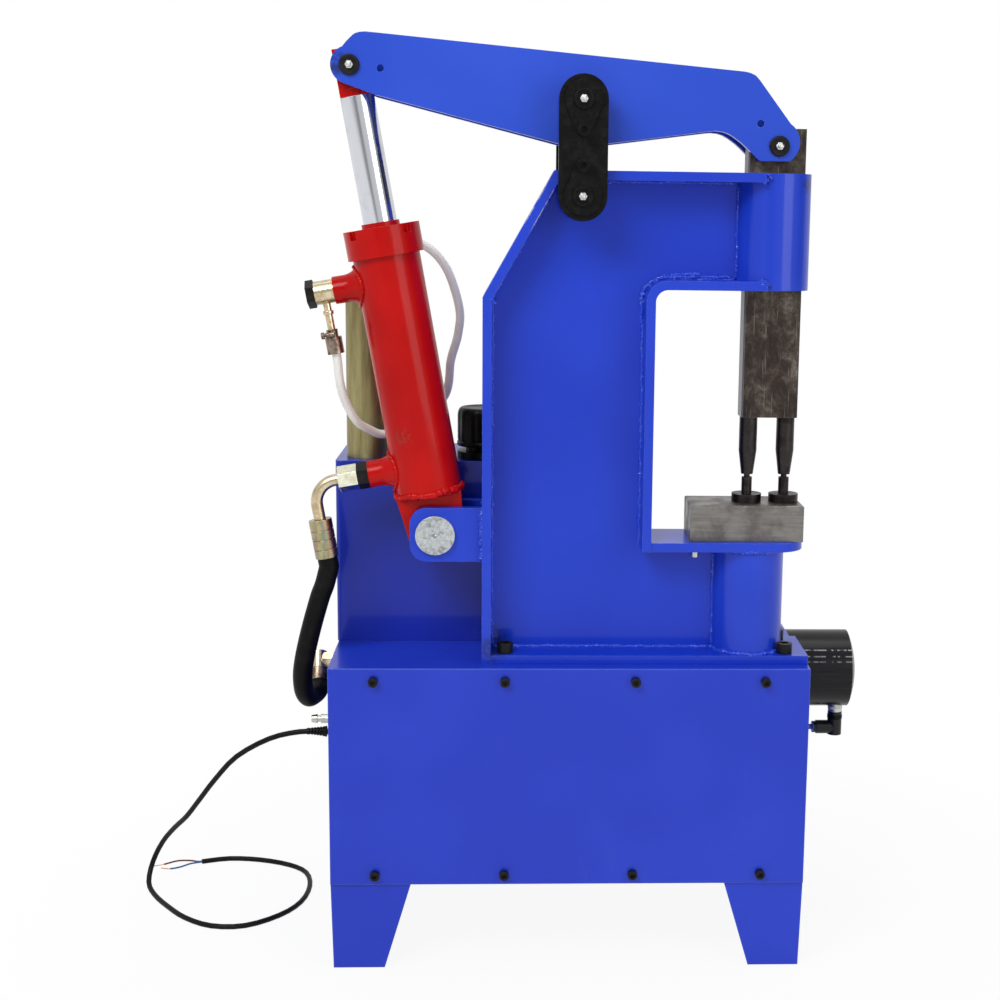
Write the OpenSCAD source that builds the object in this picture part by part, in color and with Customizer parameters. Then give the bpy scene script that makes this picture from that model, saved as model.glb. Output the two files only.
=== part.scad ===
// Pneumatic riveting machine: cabinet, C-shaped welded frame, tilted oil cylinder,
// lever on a swinging link, and a square-bar ram with two punches over two anvils.
// Millimetres. Z is up, X runs from the cylinder side to the ram side, Y runs backwards.

/* [Cabinet] */
// Width of the cabinet
cab_w = 640; // [560:5:760]
// Depth of the cabinet, front cover included
cab_d = 340; // [300:5:420]
// Height of the cabinet without its legs
cab_h = 300; // [240:5:400]
// Thickness of the cabinet's sheet
sheet_t = 3; // [2:0.5:5]
// Thickness of the side cover
cover_t = 2; // [1.5:0.5:4]
// Width of the flange behind the cover
cover_flange_w = 34; // [28:1:45]
// Distance from the cabinet's side to the first cover screw
cover_screw_side = 60; // [40:1:90]
// Distance from the top edge to the upper cover screws
cover_screw_top = 17; // [12:1:22]
// Distance from the bottom edge to the lower cover screws
cover_screw_low = 14; // [12:1:22]
// Height of the legs
leg_h = 120; // [80:5:180]
// Width of a leg at its top
leg_top_w = 108; // [90:1:140]
// Width of a leg at the floor
leg_foot_w = 69; // [50:1:90]
// Thickness of the leg's sheet
leg_t = 4; // [3:0.5:6]
// Distance of the leg's faces from the cabinet's faces
leg_inset = 3; // [2:0.5:8]

/* [Frame] */
// Width of the frame's flanges
frame_w = 108; // [90:2:130]
// Thickness of the flanges and the base plate
plate_t = 12; // [8:1:16]
// Thickness of the web
web_t = 10; // [6:1:14]
// Distance from the cabinet's front to the middle of the web
frame_mid = 77; // [70:1:90]
// Outer face of the back flange, left of the cabinet's middle
frame_back = 118; // [100:1:140]
// Height of the bend in the back flange above the cabinet
frame_bend = 486; // [440:2:520]
// Height of the frame above the cabinet
frame_h = 648; // [620:2:700]
// Left of the cabinet's middle, where the slope meets the top
slope_top = 27; // [10:1:50]
// Inner face of the throat, right of the cabinet's middle
throat_x = 105.5; // [90:0.5:130]
// Height of the table's top above the cabinet
table_z = 165; // [140:1:190]
// Clear height of the throat above the table
throat_h = 333; // [300:1:350]
// Inner radius of the throat's upper corner
throat_r = 16; // [8:1:24]
// Width of the table
table_w = 104; // [90:1:120]
// Round end of the table, right of the cabinet's middle
table_end = 313; // [300:1:330]
// Corner radius of the table's free end
table_r = 42; // [20:1:46]
// Outer diameter of the guide tube and of the column
tube_d = 96; // [92:1:104]
// Wall of the guide tube
tube_wall = 5; // [4:0.5:5.5]
// Axis of the column under the table, right of the cabinet's middle
column_x = 242; // [230:1:255]
// Thread diameter of the frame's cap screws
frame_bolt_d = 14; // [10:1:16]
// Distance from the frame's back face to the left cap screws
frame_bolt_left = 31; // [26:1:40]
// Distance from the base plate's right end to the right cap screws
frame_bolt_right = 30; // [22:1:40]
// Distance of the cap screws from the base plate's long edges
frame_bolt_edge = 17; // [14:1:24]

/* [Ram] */
// Width of the ram bar
ram_w = 75; // [65:1:78]
// Depth of the ram bar
ram_d = 38; // [32:1:40]
// Length of the ram bar
ram_len = 376; // [350:2:420]
// Height of the ram's end above the table at the bottom of its stroke
ram_rise = 164.5; // [158:0.5:175]
// Axis of the ram, right of the cabinet's middle
ram_x = 262.5; // [256:0.5:268]
// Chamfer of the ram's long edges
ram_chamfer = 2; // [1:0.5:4]
// Length of each guide bush
bush_len = 32; // [20:1:50]
// Free play of the ram in its bushes, each side
ram_play = 0.08; // [0.04:0.01:0.1]
// Distance between the two punches
punch_pitch = 50; // [44:1:54]
// Diameter of a punch
punch_d = 24; // [18:1:28]
// Straight length of a punch
punch_len = 46; // [36:1:56]
// Tapered length of a punch
punch_taper = 32; // [20:1:40]
// Diameter at the end of the taper
punch_end_d = 16; // [10:1:17]
// Diameter of the tip
punch_tip_d = 8; // [4:0.5:9]
// Length of the tip
punch_tip_len = 4; // [2:0.5:8]
// Length of the block that carries the anvils
block_w = 152; // [130:1:154]
// Depth of the block
block_d = 80; // [60:1:90]
// Height of the block
block_h = 49; // [40:1:60]
// Distance from the throat's face to the block
block_gap = 52.5; // [40:0.5:60]
// Diameter of an anvil's disc
anvil_d = 40; // [30:1:43]
// Height of an anvil's disc
anvil_h = 11; // [9:1:18]
// Diameter of an anvil's post
anvil_post_d = 14; // [8:0.5:16]
// Gap between a punch and its anvil at the bottom of the stroke
punch_gap = 0.3; // [0.2:0.1:1]

/* [Linkage] */
// Distance from the frame's top to the frame pin
frame_pin_drop = 33; // [31:0.5:40]
// The frame pin, right of the cabinet's middle
frame_pin_x = 8.5; // [0:0.5:20]
// Distance between the two pins of the link
link_c = 120; // [100:1:140]
// Width of the link
link_w = 62; // [50:1:70]
// Thickness of a link plate
link_t = 18; // [12:1:20]
// Side gap between a link plate and the frame
link_gap = 3; // [2:0.5:5]
// Diameter of every black pin in the linkage
pin_d = 26; // [20:1:28]
// Radial running clearance of the pins
pin_play = 0.05; // [0.02:0.01:0.1]
// Radial clearance of the ram hole and the rod eye
open_play = 1; // [0.9:0.1:1.4]
// Outer diameter of the pin bosses
boss_d = 40; // [36:1:42]
// Height of the fulcrum pin above the ram pin
fore_drop = 52.5; // [40:0.5:60]
// Length of the lever's arm on the cylinder side
back_arm = 295.5; // [270:0.5:310]
// Height of the rod pin above the fulcrum pin
back_rise = 40; // [30:1:50]
// Thickness of a lever plate
lever_t = 12; // [10:1:14]
// Clear gap between the lever plates
lever_gap = 42; // [40:1:46]
// Round end of the lever at the rod pin
lever_tail_r = 24; // [20:1:30]
// Round end of the lever at the ram pin
lever_nose_r = 28; // [24:0.5:32]
// Depth of the lever below the fulcrum pin
lever_belly = 58.5; // [45:0.5:66]
// Height of the lever's top corner above the rod pin
lever_crown = 40.5; // [34:0.5:46]
// Height of the lever's other top corner above the ram pin
lever_shoulder = 91.5; // [80:0.5:100]
// How far the lever's top right corner is rounded back, mm
lever_corner = 12; // [4:1:16]
// Diameter of the small lifting holes in the lever
lift_hole_d = 9; // [6:0.5:12]
// Thickness of the pin keepers
keeper_t = 4; // [3:0.5:6]
// Distance from a pin to its keeper's screw
keeper_reach = 38; // [34:1:42]
// Thread diameter of the keeper screws
keeper_bolt_d = 10; // [8:1:12]

/* [Cylinder] */
// Pivot of the cylinder, left of the cabinet's middle
cyl_pivot_x = 180; // [170:1:195]
// Height of the cylinder's pivot above the cabinet
cyl_pivot_z = 172.5; // [150:0.5:190]
// Outer diameter of the barrel
barrel_d = 88; // [80:1:94]
// Bore of the barrel
barrel_bore = 70; // [60:1:74]
// Distance from the pivot to the barrel's foot
barrel_foot = 51; // [45:1:60]
// Length of the barrel
barrel_len = 318; // [300:2:340]
// Thickness of the barrel's bottom
barrel_floor = 20; // [12:1:30]
// Outer diameter of the gland
gland_d = 100; // [96:1:108]
// Height of the gland's collar
gland_h = 38; // [30:1:45]
// Length of the gland's spigot in the bore
gland_spigot = 24; // [12:1:28]
// Diameter of the raised wiper ring
wiper_d = 50; // [48:1:58]
// Height of the raised wiper ring
wiper_h = 6; // [3:0.5:10]
// Diameter of the piston rod
rod_d = 44; // [38:1:48]
// Length of the piston
piston_len = 38; // [30:1:50]
// Half the width of the rod eye's square bar
rod_eye_r = 20; // [19:0.5:22]
// Distance from the rod pin to the rod's shoulder
rod_shoulder = 37.5; // [34:0.5:44]
// Radius of the cylinder's eye
eye_r = 37; // [32:1:38]
// Thickness of a bracket ear
ear_t = 15; // [10:1:18]
// Half the height of the bracket's ears at the frame
ear_r = 36; // [34:0.5:42]
// Reach of the ears past the cylinder's pin
ear_out = 33.5; // [30:0.5:42]
// Clear gap between the bracket ears
ear_gap = 50; // [46:1:56]
// Diameter of the cylinder pin
cyl_pin_d = 30; // [25:1:36]
// Diameter of the cylinder pin's head
cyl_pin_head_d = 52; // [44:1:60]
// Diameter of the port bosses
port_d = 36; // [30:1:40]
// Distance from the barrel's axis to a port's face
port_reach = 75; // [66:1:80]
// Distance from the pivot to the lower port
port_low = 89; // [80:1:100]
// Distance from the pivot to the upper port
port_high = 336; // [320:1:345]

/* [Tank] */
// Width of the oil tank
tank_w = 340; // [300:5:380]
// Depth of the oil tank
tank_d = 184; // [160:2:190]
// Height of the oil tank
tank_h = 255; // [200:5:300]
// Corner radius of the tank's folded sheet
tank_r = 6; // [4:1:12]
// Distance from the cabinet's front to the tank
tank_front = 146; // [140:1:160]
// Overhang of the tank past the cabinet's left side
tank_over = 2; // [0:0.5:6]
// Diameter of the return pot
pot_d = 62; // [50:1:70]
// Height of the return pot
pot_h = 220; // [180:2:240]
// Diameter of the filler cap
cap_d = 68; // [56:1:74]
// Height of the filler cap
cap_h = 54; // [40:1:64]

/* [Air line] */
// Outer diameter of the air cylinder
air_d = 112; // [100:1:124]
// Length of the air cylinder outside the cabinet
air_len = 94; // [80:1:110]
// Height of the domed end of the air cylinder
air_dome = 11; // [4:1:14]
// Distance from the cabinet's front to the air cylinder's axis
air_y = 230; // [180:1:260]
// Distance from the cabinet's top to the air cylinder's axis
air_drop = 61; // [56:1:90]
// Outer diameter of the small air tube
air_tube_d = 8; // [6:1:10]

/* [Hoses and cord] */
// Outer diameter of the pressure hose
hose_d = 27; // [22:1:28]
// Outer diameter of the clear return tube
clear_d = 12; // [10:1:13]
// Diameter of the power cord
cord_d = 7.6; // [6:0.2:9]
// Diameter of a stripped core
core_d = 2.6; // [2:0.2:3]

/* [Hidden] */
// Overrun of every cut past the face that it opens
over = 1;
// Clearance of two round pieces of one body that sit in each other
seat = 0.02;
// Clearance hole around a screw's shank
screw_play = 0.5;
// Facets of a full round
$fn = 64;
// Flat under the lever's nose, as a share of the nose's radius
nose_flat_share = 0.68;

// Levels and faces of the cabinet and the frame
cab_top = leg_h + cab_h;
base_top = cab_top + plate_t;
frame_top = cab_top + frame_h;
frame_front = frame_mid - frame_w / 2;
frame_rear = frame_mid + frame_w / 2;
bend_z = cab_top + frame_bend;
back_in = -frame_back + plate_t;
slope_angle = atan((frame_back - slope_top) / (frame_top - bend_z));
bend_in_z = bend_z - plate_t * tan(slope_angle / 2);
top_under = frame_top - plate_t;
slope_out_x = -frame_back + (top_under - bend_z) * tan(slope_angle);
slope_in_x = back_in + (top_under - bend_in_z) * tan(slope_angle);
table_top = cab_top + table_z;
table_under = table_top - plate_t;
throat_top = table_top + throat_h;
throat_in = throat_x - plate_t;
corner_x = throat_x + throat_r;
corner_z = throat_top - throat_r;
tube_r = tube_d / 2;
fork_top_x = ram_x - plate_t * 1.5;
fork_low_x = ram_x - plate_t;
base_end = cab_w / 2;

// The frame's cap screws and the plate under the cabinet's top that takes them
frame_bolt_head = frame_bolt_d * 1.5;
frame_bolt_xs = [-frame_back + frame_bolt_left, base_end - frame_bolt_right];
frame_bolt_ys = [frame_front + frame_bolt_edge, frame_rear - frame_bolt_edge];
doubler_t = plate_t;
doubler_margin = frame_bolt_edge / 2;
frame_bolt_len = plate_t + sheet_t + doubler_t;

// Cover screws
cover_bolt_d = 8;
cover_bolt_len = 12;
cover_xs = [for (i = [-1, -1 / 3, 1 / 3, 1]) i * (cab_w / 2 - cover_screw_side)];
cover_zs = [leg_h + cover_screw_low, cab_top - cover_screw_top];

// Ram, punches and anvils, with the ram at the bottom of its stroke
ram_low = table_top + ram_rise;
punch_shank_d = punch_d * 2 / 3;
punch_shank_len = punch_d * 1.2;
tip_z = ram_low - punch_len - punch_taper - punch_tip_len;
punch_xs = [ram_x - punch_pitch / 2, ram_x + punch_pitch / 2];
block_x = throat_x + block_gap;
block_top = table_top + block_h;
block_chamfer = 1.5;
anvil_top = block_top + anvil_h;
anvil_pin_d = anvil_post_d * 6 / 7;
anvil_pin_len = anvil_h;
stud_d = 10;
stud_low = 13;
stud_x = block_x + stud_d;
stud_ys = [frame_mid - stud_d * 1.7, frame_mid + stud_d * 1.7];
stud_grip = block_h / 2;

// Pins of the linkage
frame_pin_z = frame_top - frame_pin_drop;
fulcrum_z = frame_pin_z + link_c;
fulcrum_x = frame_pin_x;
ram_pin = [ram_x, fulcrum_z - fore_drop];
rod_pin = [fulcrum_x - back_arm, fulcrum_z + back_rise];
pin_r = pin_d / 2;
pin_out = 3;
boss_gap = 0.3;
boss_len = frame_w + 2 * (link_gap - boss_gap);
link_near_y = frame_front - link_gap - link_t;
link_far_y = frame_rear + link_gap;
lever_near_y = frame_mid - lever_gap / 2 - lever_t;
lever_peak = ram_pin + [-1.25 * lever_nose_r, lever_shoulder];
lever_far_y = frame_mid + lever_gap / 2;
link_pin_len = link_far_y + link_t - link_near_y + keeper_t + 2 * pin_out;
lever_pin_len = lever_gap + 2 * lever_t + 2 * pin_out;
keeper_screw_zs = [fulcrum_z - keeper_reach, frame_pin_z + keeper_reach];
keeper_head = keeper_bolt_d * 1.6;
keeper_hub_r = pin_r + 11;

// Oil cylinder, whose axis runs from its pivot to the rod pin
pivot = [-cyl_pivot_x, cab_top + cyl_pivot_z];
axis_len = norm(rod_pin - pivot);
axis_tilt = atan((rod_pin[0] - pivot[0]) / (rod_pin[1] - pivot[1]));
barrel_r = barrel_d / 2;
barrel_end = barrel_foot + barrel_len;
rod_r = rod_d / 2;
shoulder = axis_len - rod_shoulder;
rod_stud_r = rod_r * 0.65;
rod_stud_len = rod_shoulder - pin_r - 10;
eye_t = ear_gap - 2;
ear_corner = ear_r * 0.61;
rod_eye_t = lever_gap - 4;
eye_collar_r = lever_gap * 0.485;
piston_foot = port_high - port_d / 3 - piston_len;
cyl_pin_r = cyl_pin_d / 2;
ear_near_y = frame_mid - ear_gap / 2 - ear_t;
ear_far_y = frame_mid + ear_gap / 2;
cyl_pin_head_t = 6;

// Fittings of the two ports, measured outwards from the barrel's axis
port_bore_r = port_d * 0.18;
banjo_len = 26;
banjo_r = 15.5;
banjo_end = port_reach + banjo_len;
bolt_head_t = 10;
stem_r = 5;
stem_len = 46;
stem_reach = port_reach + banjo_len / 2;
stem_end = port_high - banjo_r - stem_len;
clamp_r = 11;
clamp_len = 22;
adapter_len = 15;
nut_end = port_reach + adapter_len + 26;
pipe_r = 8;
pipe_bend = 30;
pipe_x = nut_end + 5 + pipe_bend;
ferrule_r = 15.5;
nut_r = 17.5;
ferrule_len = 52;
ferrule_top = port_low - pipe_bend - 19;
ferrule_foot = ferrule_top - ferrule_len;

// Oil tank and what stands on it
tank_x = -cab_w / 2 - tank_over;
tank_top = cab_top + tank_h;
pot_x = -279;
pot_y = tank_front + 46;
pot_top = tank_top + pot_h;
barb_r = 5;
barb_len = 30;
neck_x = -frame_back;
neck_y = tank_front + 44;
neck_flange_r = 38;
neck_flange_t = 10;
neck_r = 26;
neck_h = 34;
neck_bore_r = 20;
cap_ring_r = 38;
cap_ring_t = 10;
cap_bevel = 5;
cap_gap = 7;
cap_play = 0.3;

// Air line on the right wall and air inlet on the left wall
air_z = cab_top - air_drop;
air_r = air_d / 2;
air_wall = 4;
nipple_x = cab_w / 2 + 81;
nipple_r = 10.5;
nipple_len = 10;
elbow_r = 10.5;
elbow_drop = 25;
elbow_arm = 28;
ring_r = 8.5;
elbow_z = air_z - air_r - nipple_len - elbow_drop;
ring_len = 4;
air_tube_r = air_tube_d / 2;
inlet_y = 100;
inlet_z = cab_top - 99;
inlet_hex_r = 8;
gland_y = 140;
gland_z = cab_top - 130;
gland_r = 8;
gland_len = 16;

// Pressure hose, from its ferrule on the cylinder to the ferrule on the left wall
wall_y = 182;
wall_z = cab_top - 39;
wall_hub_x = -cab_w / 2 - 32;
wall_dir = [2, -22, -29] / norm([2, -22, -29]);
wall_ferrule_len = 18;
wall_hub_r = 13;
hose_end = [wall_hub_x, wall_y, wall_z] + wall_dir * (wall_hub_r + wall_ferrule_len);
hose_start = on_cylinder(pipe_x, ferrule_foot);
hose_drop = hose_start[2] - hose_end[2];
down_axis = on_cylinder(0, -1) - on_cylinder(0, 0);
hose_route_shares = [[-0.02, 0.005, -0.19], [-0.06, 0.015, -0.3], [-0.135, 0.025, -0.57],
    [-0.183, 0.054, -0.8], [-0.188, 0.113, -0.96], [-0.168, 0.2, -1.045], [-0.14, 0.294, -1.058],
    [-0.117, 0.352, -1.043]];

// Clear return tube, from the banjo's stem to the barb on the return pot
clear_start = on_cylinder(stem_reach, stem_end - 2 * seat);
clear_end = [pot_x, pot_y, pot_top + barb_len];
clear_route_shares = [[0.03, 0.045, -0.26], [0.055, 0.095, -0.38],
    [0.115, 0.16, -0.51], [0.19, 0.22, -0.575], [0.28, 0.28, -0.61], [0.47, 0.36, -0.565],
    [0.65, 0.38, -0.37], [0.685, 0.4, -0.155], [0.73, 0.415, 0.01], [0.735, 0.425, 0.175],
    [0.65, 0.445, 0.42], [0.505, 0.48, 0.555], [0.33, 0.51, 0.57], [0.2, 0.523, 0.48]];

// Route of the power cord from its gland to the floor, in a loop to the stripped end
cord_route = [[-336, 140, 290], [-376, 141, 289], [-420, 150, 276], [-470, 170, 243],
    [-505, 190, 202], [-532, 211, 164], [-556, 233, 130], [-580, 260, 102], [-603, 283, 71],
    [-620, 290, 37], [-623, 271, 12], [-608, 240, 5], [-580, 199, 4], [-547, 159, 4],
    [-505, 131, 4], [-457, 131, 4], [-413, 166, 4], [-388, 213, 4], [-382, 272, 4],
    [-394, 324, 4], [-424, 355, 4], [-472, 376, 4], [-521, 382, 4], [-562, 370, 4]];
// The two stripped cores past the cord's end
cord_tip = cord_route[len(cord_route) - 1];
cord_way = unit(cord_tip - cord_route[len(cord_route) - 2]);
cord_side = [cord_way[1], -cord_way[0], 0];
core_gap = 0.5;
core_apart = core_d * 0.65;
core_turns = [[[-582, 372, 5], [-600, 368, 6], [-618, 357, 5], [-634, 352, 4]],
    [[-579, 361, 4], [-592, 351, 3], [-606, 344, 3], [-621, 347, 3]]];

// Bounding box of the machine without its cord, whose bottom centre is the origin
left_end = min([for (p = hose_path()) p[0]]) - hose_d / 2;
right_end = cab_w / 2 + air_len + air_dome;
near_end = link_near_y - keeper_t - keeper_bolt_d;
mid_x = (left_end + right_end) / 2;
mid_y = (near_end + cab_d) / 2;

// A point beside the cylinder's axis: out from the axis, and up from the pivot
function on_cylinder(out, up) = [
    pivot[0] - out * cos(axis_tilt) + up * sin(axis_tilt),
    frame_mid,
    pivot[1] + out * sin(axis_tilt) + up * cos(axis_tilt)];

function unit(v) = v / norm(v);
function arc(c, r, a0, a1, n) = [for (i = [0 : n]) let (a = a0 + (a1 - a0) * i / n)
    [c[0] + r * cos(a), c[1] + r * sin(a)]];

// Smooth curve through route points, with n steps between two points
function blend_point(a, b, c, d, t) = 0.5 * (2 * b + (c - a) * t
    + (2 * a - 5 * b + 4 * c - d) * t * t + (3 * b - a - 3 * c + d) * t * t * t);
function smooth(p, n) = concat([for (i = [0 : len(p) - 2]) for (j = [0 : n - 1])
    blend_point(p[max(i - 1, 0)], p[i], p[i + 1], p[min(i + 2, len(p) - 1)], j / n)],
    [p[len(p) - 1]]);

// Directions and side vectors along a path, turned as little as possible
function headings(p) = [for (i = [0 : len(p) - 1])
    unit(p[min(i + 1, len(p) - 1)] - p[max(i - 1, 0)])];
function square_to(v) = unit(cross(v, abs(v[2]) > 0.9 ? [1, 0, 0] : [0, 0, 1]));
function sides_along(t, i, last, out) = i >= len(t) ? out
    : let (s = unit(last - t[i] * (last * t[i]))) sides_along(t, i + 1, s, concat(out, [s]));

// Path of the pressure hose and of the return tube, square to the fittings at both ends
function hose_path() = concat([hose_start], smooth(concat(
    [hose_start + down_axis * hose_d / 2],
    [for (s = hose_route_shares) hose_start + s * hose_drop],
    [hose_end + wall_dir * hose_d / 4]), 3), [hose_end]);
function clear_path() = concat([clear_start], smooth(concat(
    [for (i = [1 : 2]) clear_start + down_axis * i * (clamp_len + clear_d) / 2],
    [for (s = clear_route_shares) clear_start + s * pot_h],
    [clear_end + [0, 0, clear_d]]), 3), [clear_end]);

// Moves a piece from the cabinet's middle to the machine's origin
module placed() translate([-mid_x, -mid_y, 0]) children();

// Stands a flat outline up as a plate: outline X and Y become X and Z
module upright(y, t) translate([0, y + t, 0]) rotate([90, 0, 0]) linear_extrude(t) children();

// Round bar or hole along Y from the front face y
module across(p, y, r, t) translate([p[0], y, p[1]]) rotate([-90, 0, 0]) cylinder(h = t, r = r);

// Works in the cylinder's own frame: Z up its axis, minus X towards its ports
module on_axis() translate([pivot[0], frame_mid, pivot[1]]) rotate([0, axis_tilt, 0]) children();

// Puts a piece that points along Z on a port, pointing away from the barrel
module on_port(out, up) translate([-out, 0, up]) rotate([0, -90, 0]) children();

module ring(r, bore, t) difference() {
    cylinder(h = t, r = r);
    translate([0, 0, -over]) cylinder(h = t + 2 * over, r = bore);
}

module socket_screw(d, head_d, len) difference() {
    union() {
        cylinder(h = d, r = head_d / 2);
        translate([0, 0, -len]) cylinder(h = len + d / 2, r = d / 2);
    }
    translate([0, 0, d / 2]) cylinder(h = d, r = d * 0.48, $fn = 6);
}

// One tube swept along a path
module swept(path, r, sides) {
    t = headings(path);
    s = sides_along(t, 0, square_to(t[0]), []);
    count = len(path);
    points = [for (i = [0 : count - 1]) for (k = [0 : sides - 1])
        path[i] + r * (cos(360 * k / sides) * s[i] + sin(360 * k / sides) * cross(t[i], s[i]))];
    skin = [for (i = [0 : count - 2]) for (k = [0 : sides - 1])
        let (a = i * sides + k, b = i * sides + (k + 1) % sides)
        for (f = [[a, a + sides, b], [b, a + sides, b + sides]]) f];
    ends = [[for (k = [0 : sides - 1]) k],
        [for (k = [sides - 1 : -1 : 0]) (count - 1) * sides + k]];
    polyhedron(points, concat(skin, ends));
}

// Colours
frame_blue = "#2b45c4";
cylinder_red = "#b81c22";
dark_steel = "#2b2b2e";
bright_steel = "#b9bcc0";
bare_steel = "#7d7670";
gold_zinc = "#c2a878";

// Cabinet

module box_at(x, y, z) translate([x[0], y[0], z[0]]) cube([x[1] - x[0], y[1] - y[0], z[1] - z[0]]);

module cover_holes(r) for (x = cover_xs) for (z = cover_zs)
    across([x, z], -over, r, cover_t + sheet_t + 2 * over);

module cabinet() placed() color(frame_blue) difference() {
    union() {
        difference() {
            box_at([-cab_w / 2, cab_w / 2], [cover_t, cab_d], [leg_h, cab_top]);
            box_at([-cab_w / 2 + sheet_t, cab_w / 2 - sheet_t],
                [cover_t + sheet_t, cab_d - sheet_t], [leg_h + sheet_t, cab_top - sheet_t]);
        }
        // Plate under the top that the frame's screws are tapped into
        box_at([frame_bolt_xs[0] - 3 * doubler_margin, frame_bolt_xs[1] + 3 * doubler_margin],
            [frame_front - doubler_margin, frame_rear + doubler_margin],
            [cab_top - sheet_t - doubler_t, cab_top - sheet_t]);
    }
    // Mouth behind the side cover
    box_at([-cab_w / 2 + cover_flange_w, cab_w / 2 - cover_flange_w],
        [0, cover_t + sheet_t + over], [leg_h + cover_flange_w, cab_top - cover_flange_w]);
    cover_holes(cover_bolt_d / 2 + seat);
    for (x = frame_bolt_xs) for (y = frame_bolt_ys)
        translate([x, y, cab_top - sheet_t - doubler_t - over])
            cylinder(h = doubler_t + sheet_t + 2 * over, r = frame_bolt_d / 2 + seat);
    translate([cab_w / 2 - sheet_t - over, air_y, elbow_z]) rotate([0, 90, 0])
        cylinder(h = sheet_t + 2 * over, r = air_tube_r + cap_play);
}

module side_cover() placed() color(frame_blue) difference() {
    box_at([-cab_w / 2, cab_w / 2], [0, cover_t], [leg_h, cab_top]);
    cover_holes(cover_bolt_d / 2 + screw_play);
}

module cover_screws() placed() color(dark_steel) for (x = cover_xs) for (z = cover_zs)
    translate([x, 0, z]) rotate([90, 0, 0])
        socket_screw(cover_bolt_d, cover_bolt_d * 1.6, cover_bolt_len);

// One leg, bent from sheet, with its corner at the origin
module leg() {
    outline = [[0, leg_h], [leg_top_w, leg_h], [leg_inset + leg_foot_w, 0], [leg_inset, 0]];
    upright(0, leg_t) polygon(outline);
    translate([leg_inset, 0, 0]) rotate([90, 0, 90]) linear_extrude(leg_t) polygon(outline);
}

module legs() placed() color(frame_blue) for (side = [0, 1]) for (back = [0, 1])
    mirror([side, 0, 0]) translate([0, back * cab_d, 0]) mirror([0, back, 0])
        translate([-cab_w / 2, sheet_t, 0]) leg();

// Frame

// The throat seen from the front, grown all round by out
module throat_room(out) {
    low = table_under - (out > 0 ? 0 : over);
    reach = frame_w * 2;
    translate([throat_x - out, low]) square([reach, corner_z - low]);
    translate([corner_x, low]) square([reach, throat_top + out - low]);
    translate([corner_x, corner_z]) circle(r = throat_r + out);
}

module guide_room(r) translate([ram_x, frame_mid, throat_top - over])
    cylinder(h = frame_top - throat_top + 2 * over, r = r);

module frame_web() placed() color(frame_blue) difference() {
    upright(frame_mid - web_t / 2, web_t) difference() {
        polygon([[back_in, base_top], [column_x, base_top], [column_x, table_under],
            [ram_x, table_under], [ram_x, top_under], [slope_in_x, top_under], [back_in, bend_in_z]]);
        throat_room(plate_t + seat);
        translate([throat_x, table_under]) square([frame_w * 2, plate_t]);
    }
    guide_room(tube_r + seat);
    translate([column_x, frame_mid, base_top - over])
        cylinder(h = table_under - base_top + 2 * over, r = tube_r + seat);
    across([frame_pin_x, frame_pin_z], frame_mid - web_t, boss_d / 2 + seat, 2 * web_t);
}

module back_flange() placed() color(frame_blue) upright(frame_front, frame_w)
    polygon([[-frame_back, cab_top], [back_in, cab_top], [back_in, bend_in_z],
        [slope_in_x, top_under], [slope_out_x, top_under], [-frame_back, bend_z]]);

module top_flange() placed() color(frame_blue) difference() {
    upright(frame_front, frame_w) polygon([[slope_out_x, top_under], [fork_top_x, top_under],
        [fork_top_x, frame_top], [-slope_top, frame_top]]);
    guide_room(tube_r + seat);
}

module throat_flange() placed() color(frame_blue) difference() {
    upright(frame_front, frame_w) intersection() {
        difference() {
            throat_room(plate_t);
            throat_room(0);
        }
        translate([throat_in, table_under])
            square([fork_low_x - throat_in, throat_top + plate_t - table_under]);
    }
    guide_room(tube_r + seat);
}

module table_plate() placed() color(frame_blue) difference() {
    translate([0, frame_mid, table_under]) linear_extrude(plate_t) {
        straight = table_w / 2 - table_r;
        translate([throat_x, -table_w / 2]) square([table_end - table_r - throat_x, table_w]);
        translate([throat_x, -straight]) square([table_end - throat_x, 2 * straight]);
        for (side = [-1, 1]) translate([table_end - table_r, side * straight]) circle(r = table_r);
    }
    for (y = stud_ys) translate([stud_x, y, table_under - over])
        cylinder(h = plate_t + 2 * over, r = stud_d / 2 + screw_play);
}

module guide_tube() placed() color(frame_blue) translate([ram_x, frame_mid, throat_top])
    ring(tube_r, tube_r - tube_wall, frame_top - throat_top);

// Bushes at both ends of the tube, with the ram's window in them
module guide_bushes() placed() color(bare_steel)
    for (z = [throat_top, frame_top - bush_len]) translate([ram_x, frame_mid, z]) difference() {
        cylinder(h = bush_len, r = tube_r - tube_wall - seat);
        translate([-ram_w / 2 - ram_play, -ram_d / 2 - ram_play, -over])
            cube([ram_w + 2 * ram_play, ram_d + 2 * ram_play, bush_len + 2 * over]);
    }

module column() placed() color(frame_blue) translate([column_x, frame_mid, base_top])
    cylinder(h = table_under - base_top, r = tube_r);

module base_plate() placed() color(frame_blue) difference() {
    box_at([back_in, base_end], [frame_front, frame_rear], [cab_top, base_top]);
    for (x = frame_bolt_xs) for (y = frame_bolt_ys) translate([x, y, cab_top - over])
        cylinder(h = plate_t + 2 * over, r = frame_bolt_d / 2 + screw_play);
}

module frame_bolts() placed() color(dark_steel) for (x = frame_bolt_xs) for (y = frame_bolt_ys)
    translate([x, y, base_top]) socket_screw(frame_bolt_d, frame_bolt_head, frame_bolt_len);

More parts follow.
